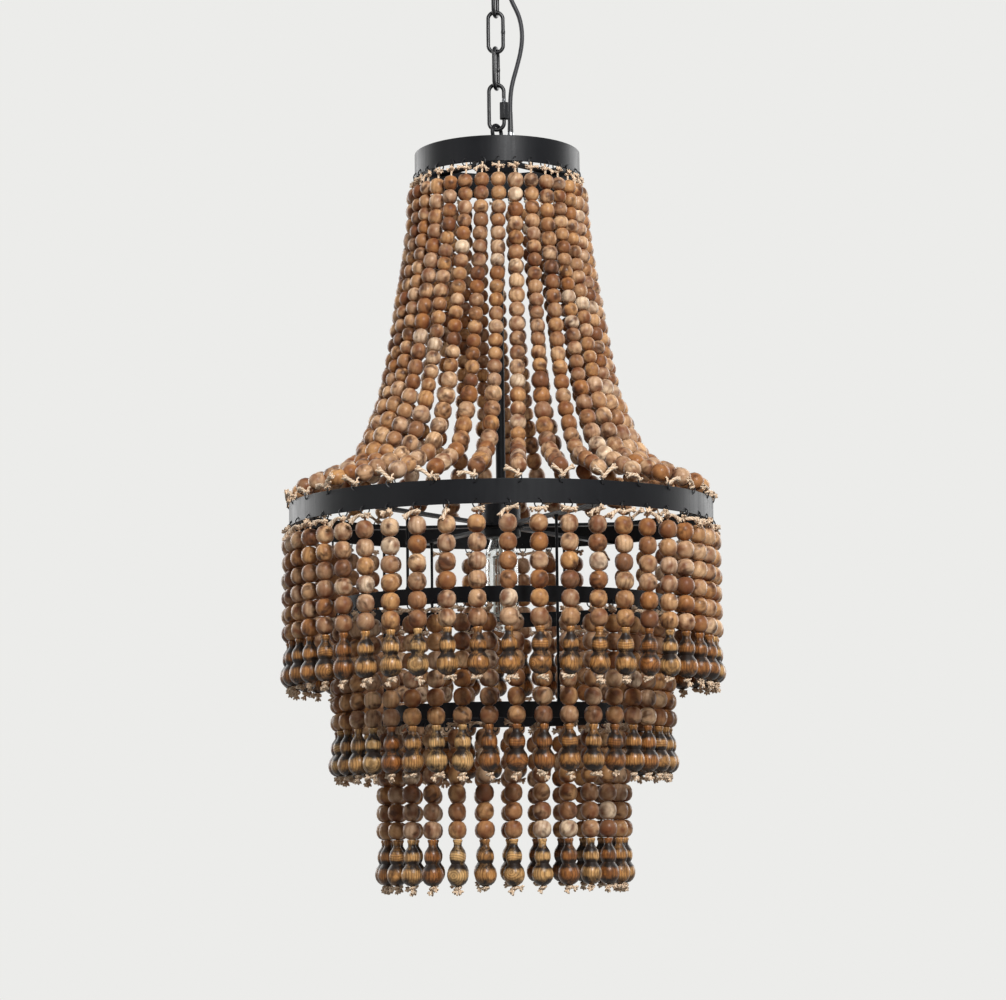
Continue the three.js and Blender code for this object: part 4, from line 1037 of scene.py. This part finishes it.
def swagString(degrees, dice):
    wood, twine = [], []
    isPlain = dice.random() < swagLine["plainShare"]
    start, end = swagLine["beadsStart"], swagLengths[-1] - swagLine["beadsEnd"]
    halves, reach = [], start
    while True:
        share = (reach - start) / (end - start)
        isUpper = share < swagLine["largeFrom"] + dice.uniform(-0.04, 0.04)
        radius, flatness = swagLine["plainBead" if isPlain else "smallBead" if isUpper else "largeBead"]
        radius *= dice.uniform(0.96, 1.02)
        half = radius * flatness * dice.uniform(0.98, 1.02)
        if reach + 2 * half > end + half:
            break
        halves.append((radius, half))
        reach += 2 * half
    # the beads are drawn out or pressed together a little, to fill the line
    fit = (end - start) / (reach - start)
    reach = start
    for radius, half in halves:
        point, direction = alongSwag(reach + half * fit)
        reach += 2 * half * fit
        direction = swagPlace(degrees, point + direction) - swagPlace(degrees, point)
        lean = Vector((0, 0, -1)).rotation_difference(direction).to_matrix().to_4x4()
        lean = lean @ Matrix.Rotation(dice.uniform(0, 6.28), 4, "Z")
        loose = Vector([dice.uniform(-0.3, 0.3) for axis in range(3)])
        place = Matrix.Translation((swagPlace(degrees, point) + loose) * mm) @ lean
        wood.append(woodCopy(beadPattern, place, (radius, radius, half * fit * 1.03), dice))
    core = [swagPlace(degrees, p) for p in swagPath[::6]]
    twine.append(cordTube("core", core, [swagLine["core"]] * len(core), resolution=0))
    radius, z = swagLine["topKnot"]
    top = at(degrees + swagLine["skew"], radius, 0, z)
    twine.append(copyOf(tieKnot, top @ Matrix.Scale(0.85, 4)))
    for flip in (False, True):
        twine.append(tailCopy(dice.choice(swagLine["topTails"]), top @ Matrix.Scale(0.7, 4), flip, dice))
    radius, z = swagLine["footKnot"]
    foot = at(degrees, radius, 0, z)
    twine.append(copyOf(tieKnot, foot))
    flip = flipped(degrees, swagLine, dice)
    twine.append(tailCopy(dice.choice(swagLine["footTails"]), foot, flip, dice))
    if dice.random() < swagLine["secondTail"]:
        twine.append(tailCopy(dice.choice(swagLine["otherTails"]), foot, not flip, dice))
    return wood, twine


perGroup = swagLine["perGroup"]
for g in range(swagLine["count"] // perGroup):
    strung(f"swag_group_{g + 1}", "frame", [swagString(swagLine["phase"] + 360 / swagLine["count"] * i, dice)
        for i in range(g * perGroup, (g + 1) * perGroup)])
print("swags strung")

# wire rings through the drilled holes, each turned a little its own way; those in an upper row stand up
for name, size in hoops.items():
    rings = []
    for z, count, phase in size["holes"]:
        isBelow = z < (size["top"] + size["foot"]) / 2
        centre = z - ringSize["radius"] if isBelow else z + ringSize["radius"]
        for i in range(count):
            place = at(phase + 360 * i / count, size["radius"] - stripThickness / 2, 0, centre)
            angle = dice.uniform(0.7, 1.15) * dice.choice((-1, 1))
            rings.append(copyOf(ringPattern, place @ Matrix.Rotation(angle, 4, "Z")))
    made(joined(f"{name}_wireRings", rings), "frame", "binding_wire", bindingWire)
for pattern in (beadPattern, finialPattern, ringPattern, tieKnot, endKnot, *tailPatterns.values()):
    bpy.data.objects.remove(pattern)
print("wire rings made")

# nodes that are right as they are get their finish
rightAsTheyAre = {"ceiling_bracket": zincPlate, "terminal_block": moulded["White"],
    "inner_cable": cableSheath, "top_spider": blackCoat, "main_spider": blackCoat, "lock_nut": zincPlate}
for node, material in rightAsTheyAre.items():
    dress(nodes[node], material)

# a soft studio: a large key from the upper right, a weak light on each side of it, two from behind, and an
# even pale surround
studio = {
    "seen": "ECECEA", "ambient": "F4F5F8", "ambientLevel": 0.05, "aim": (0, 0, -0.6),
    # name, place, size across, power
    "lamps": [("key", (0.8, -2.6, 0.95), 0.9, 109), ("side", (-2.3, -1.4, 0.3), 1.3, 6),
        ("fill", (2.3, -1.8, -0.9), 1.9, 3), ("backLeft", (-2.2, 1.9, 0.3), 2.2, 50),
        ("backRight", (2.2, 1.9, 0.3), 2.2, 44)],
    # the floor fades into the surround between these distances, from this share on
    "floorZ": -4.2, "floorRadius": 14, "floorRough": 0.9, "fadeFrom": 0.8, "fadeTo": 4.5, "fadeStart": 0.8,
}
for name, place, size, power in studio["lamps"]:
    selectNothing()
    aim = Vector(studio["aim"]) - Vector(place)
    bpy.ops.object.light_add(type="AREA", location=place, rotation=aim.to_track_quat("-Z", "Y").to_euler())
    lamp = bpy.context.object
    lamp.name = name + "Light"
    lamp.data.size = size
    lamp.data.energy = power


def seenBy(tree, *rays):
    # 1 for these kinds of ray, and 0 for those that only carry light
    paths = addNode(tree, "LightPath")
    share = paths[f"Is {rays[0]} Ray"]
    for ray in rays[1:]:
        share = addNode(tree, "Math", 0, {0: share, 1: paths[f"Is {ray} Ray"]}, operation="MAXIMUM")
    return share


world = bpy.data.worlds.new("paleStudio")
bpy.context.scene.world = world
world.use_nodes = True
tree = world.node_tree
plain = addNode(tree, "Background", 0, {"Color": studio["ambient"], "Strength": studio["ambientLevel"]})
pale = addNode(tree, "Background", 0, {"Color": studio["seen"], "Strength": 1})
share = seenBy(tree, "Camera", "Glossy", "Transmission")
both = addNode(tree, "MixShader", 0, {0: share, 1: plain, 2: pale})
setSockets(tree, tree.nodes["World Output"], {"Surface": both})

# pale floor that fades into the surround a few metres out
selectNothing()
bpy.ops.mesh.primitive_circle_add(vertices=96, radius=studio["floorRadius"], fill_type="NGON",
    location=(0, 0, studio["floorZ"]))
floor = bpy.context.object
floor.name = "studioFloor"
floorPaper, tree, place = newMaterial("paperFloor")
surface(tree, {"shader": {"Roughness": studio["floorRough"]}}, studio["seen"])
far = addNode(tree, "VectorMath", "Value", {0: place}, operation="LENGTH")
fade = {0: far, 1: studio["fadeFrom"], 2: studio["fadeTo"], 3: studio["fadeStart"]}
fade = addNode(tree, "MapRange", 0, fade)
share = addNode(tree, "Math", 0, {0: seenBy(tree, "Camera", "Glossy"), 1: fade}, operation="MULTIPLY")
paper = tree.nodes["Principled BSDF"].outputs[0]
glow = addNode(tree, "Emission", 0, {"Color": studio["seen"], "Strength": 1})
both = addNode(tree, "MixShader", 0, {0: share, 1: paper, 2: glow})
setSockets(tree, tree.nodes["Material Output"], {"Surface": both})
dress(floor, floorPaper)
print("studio lit")
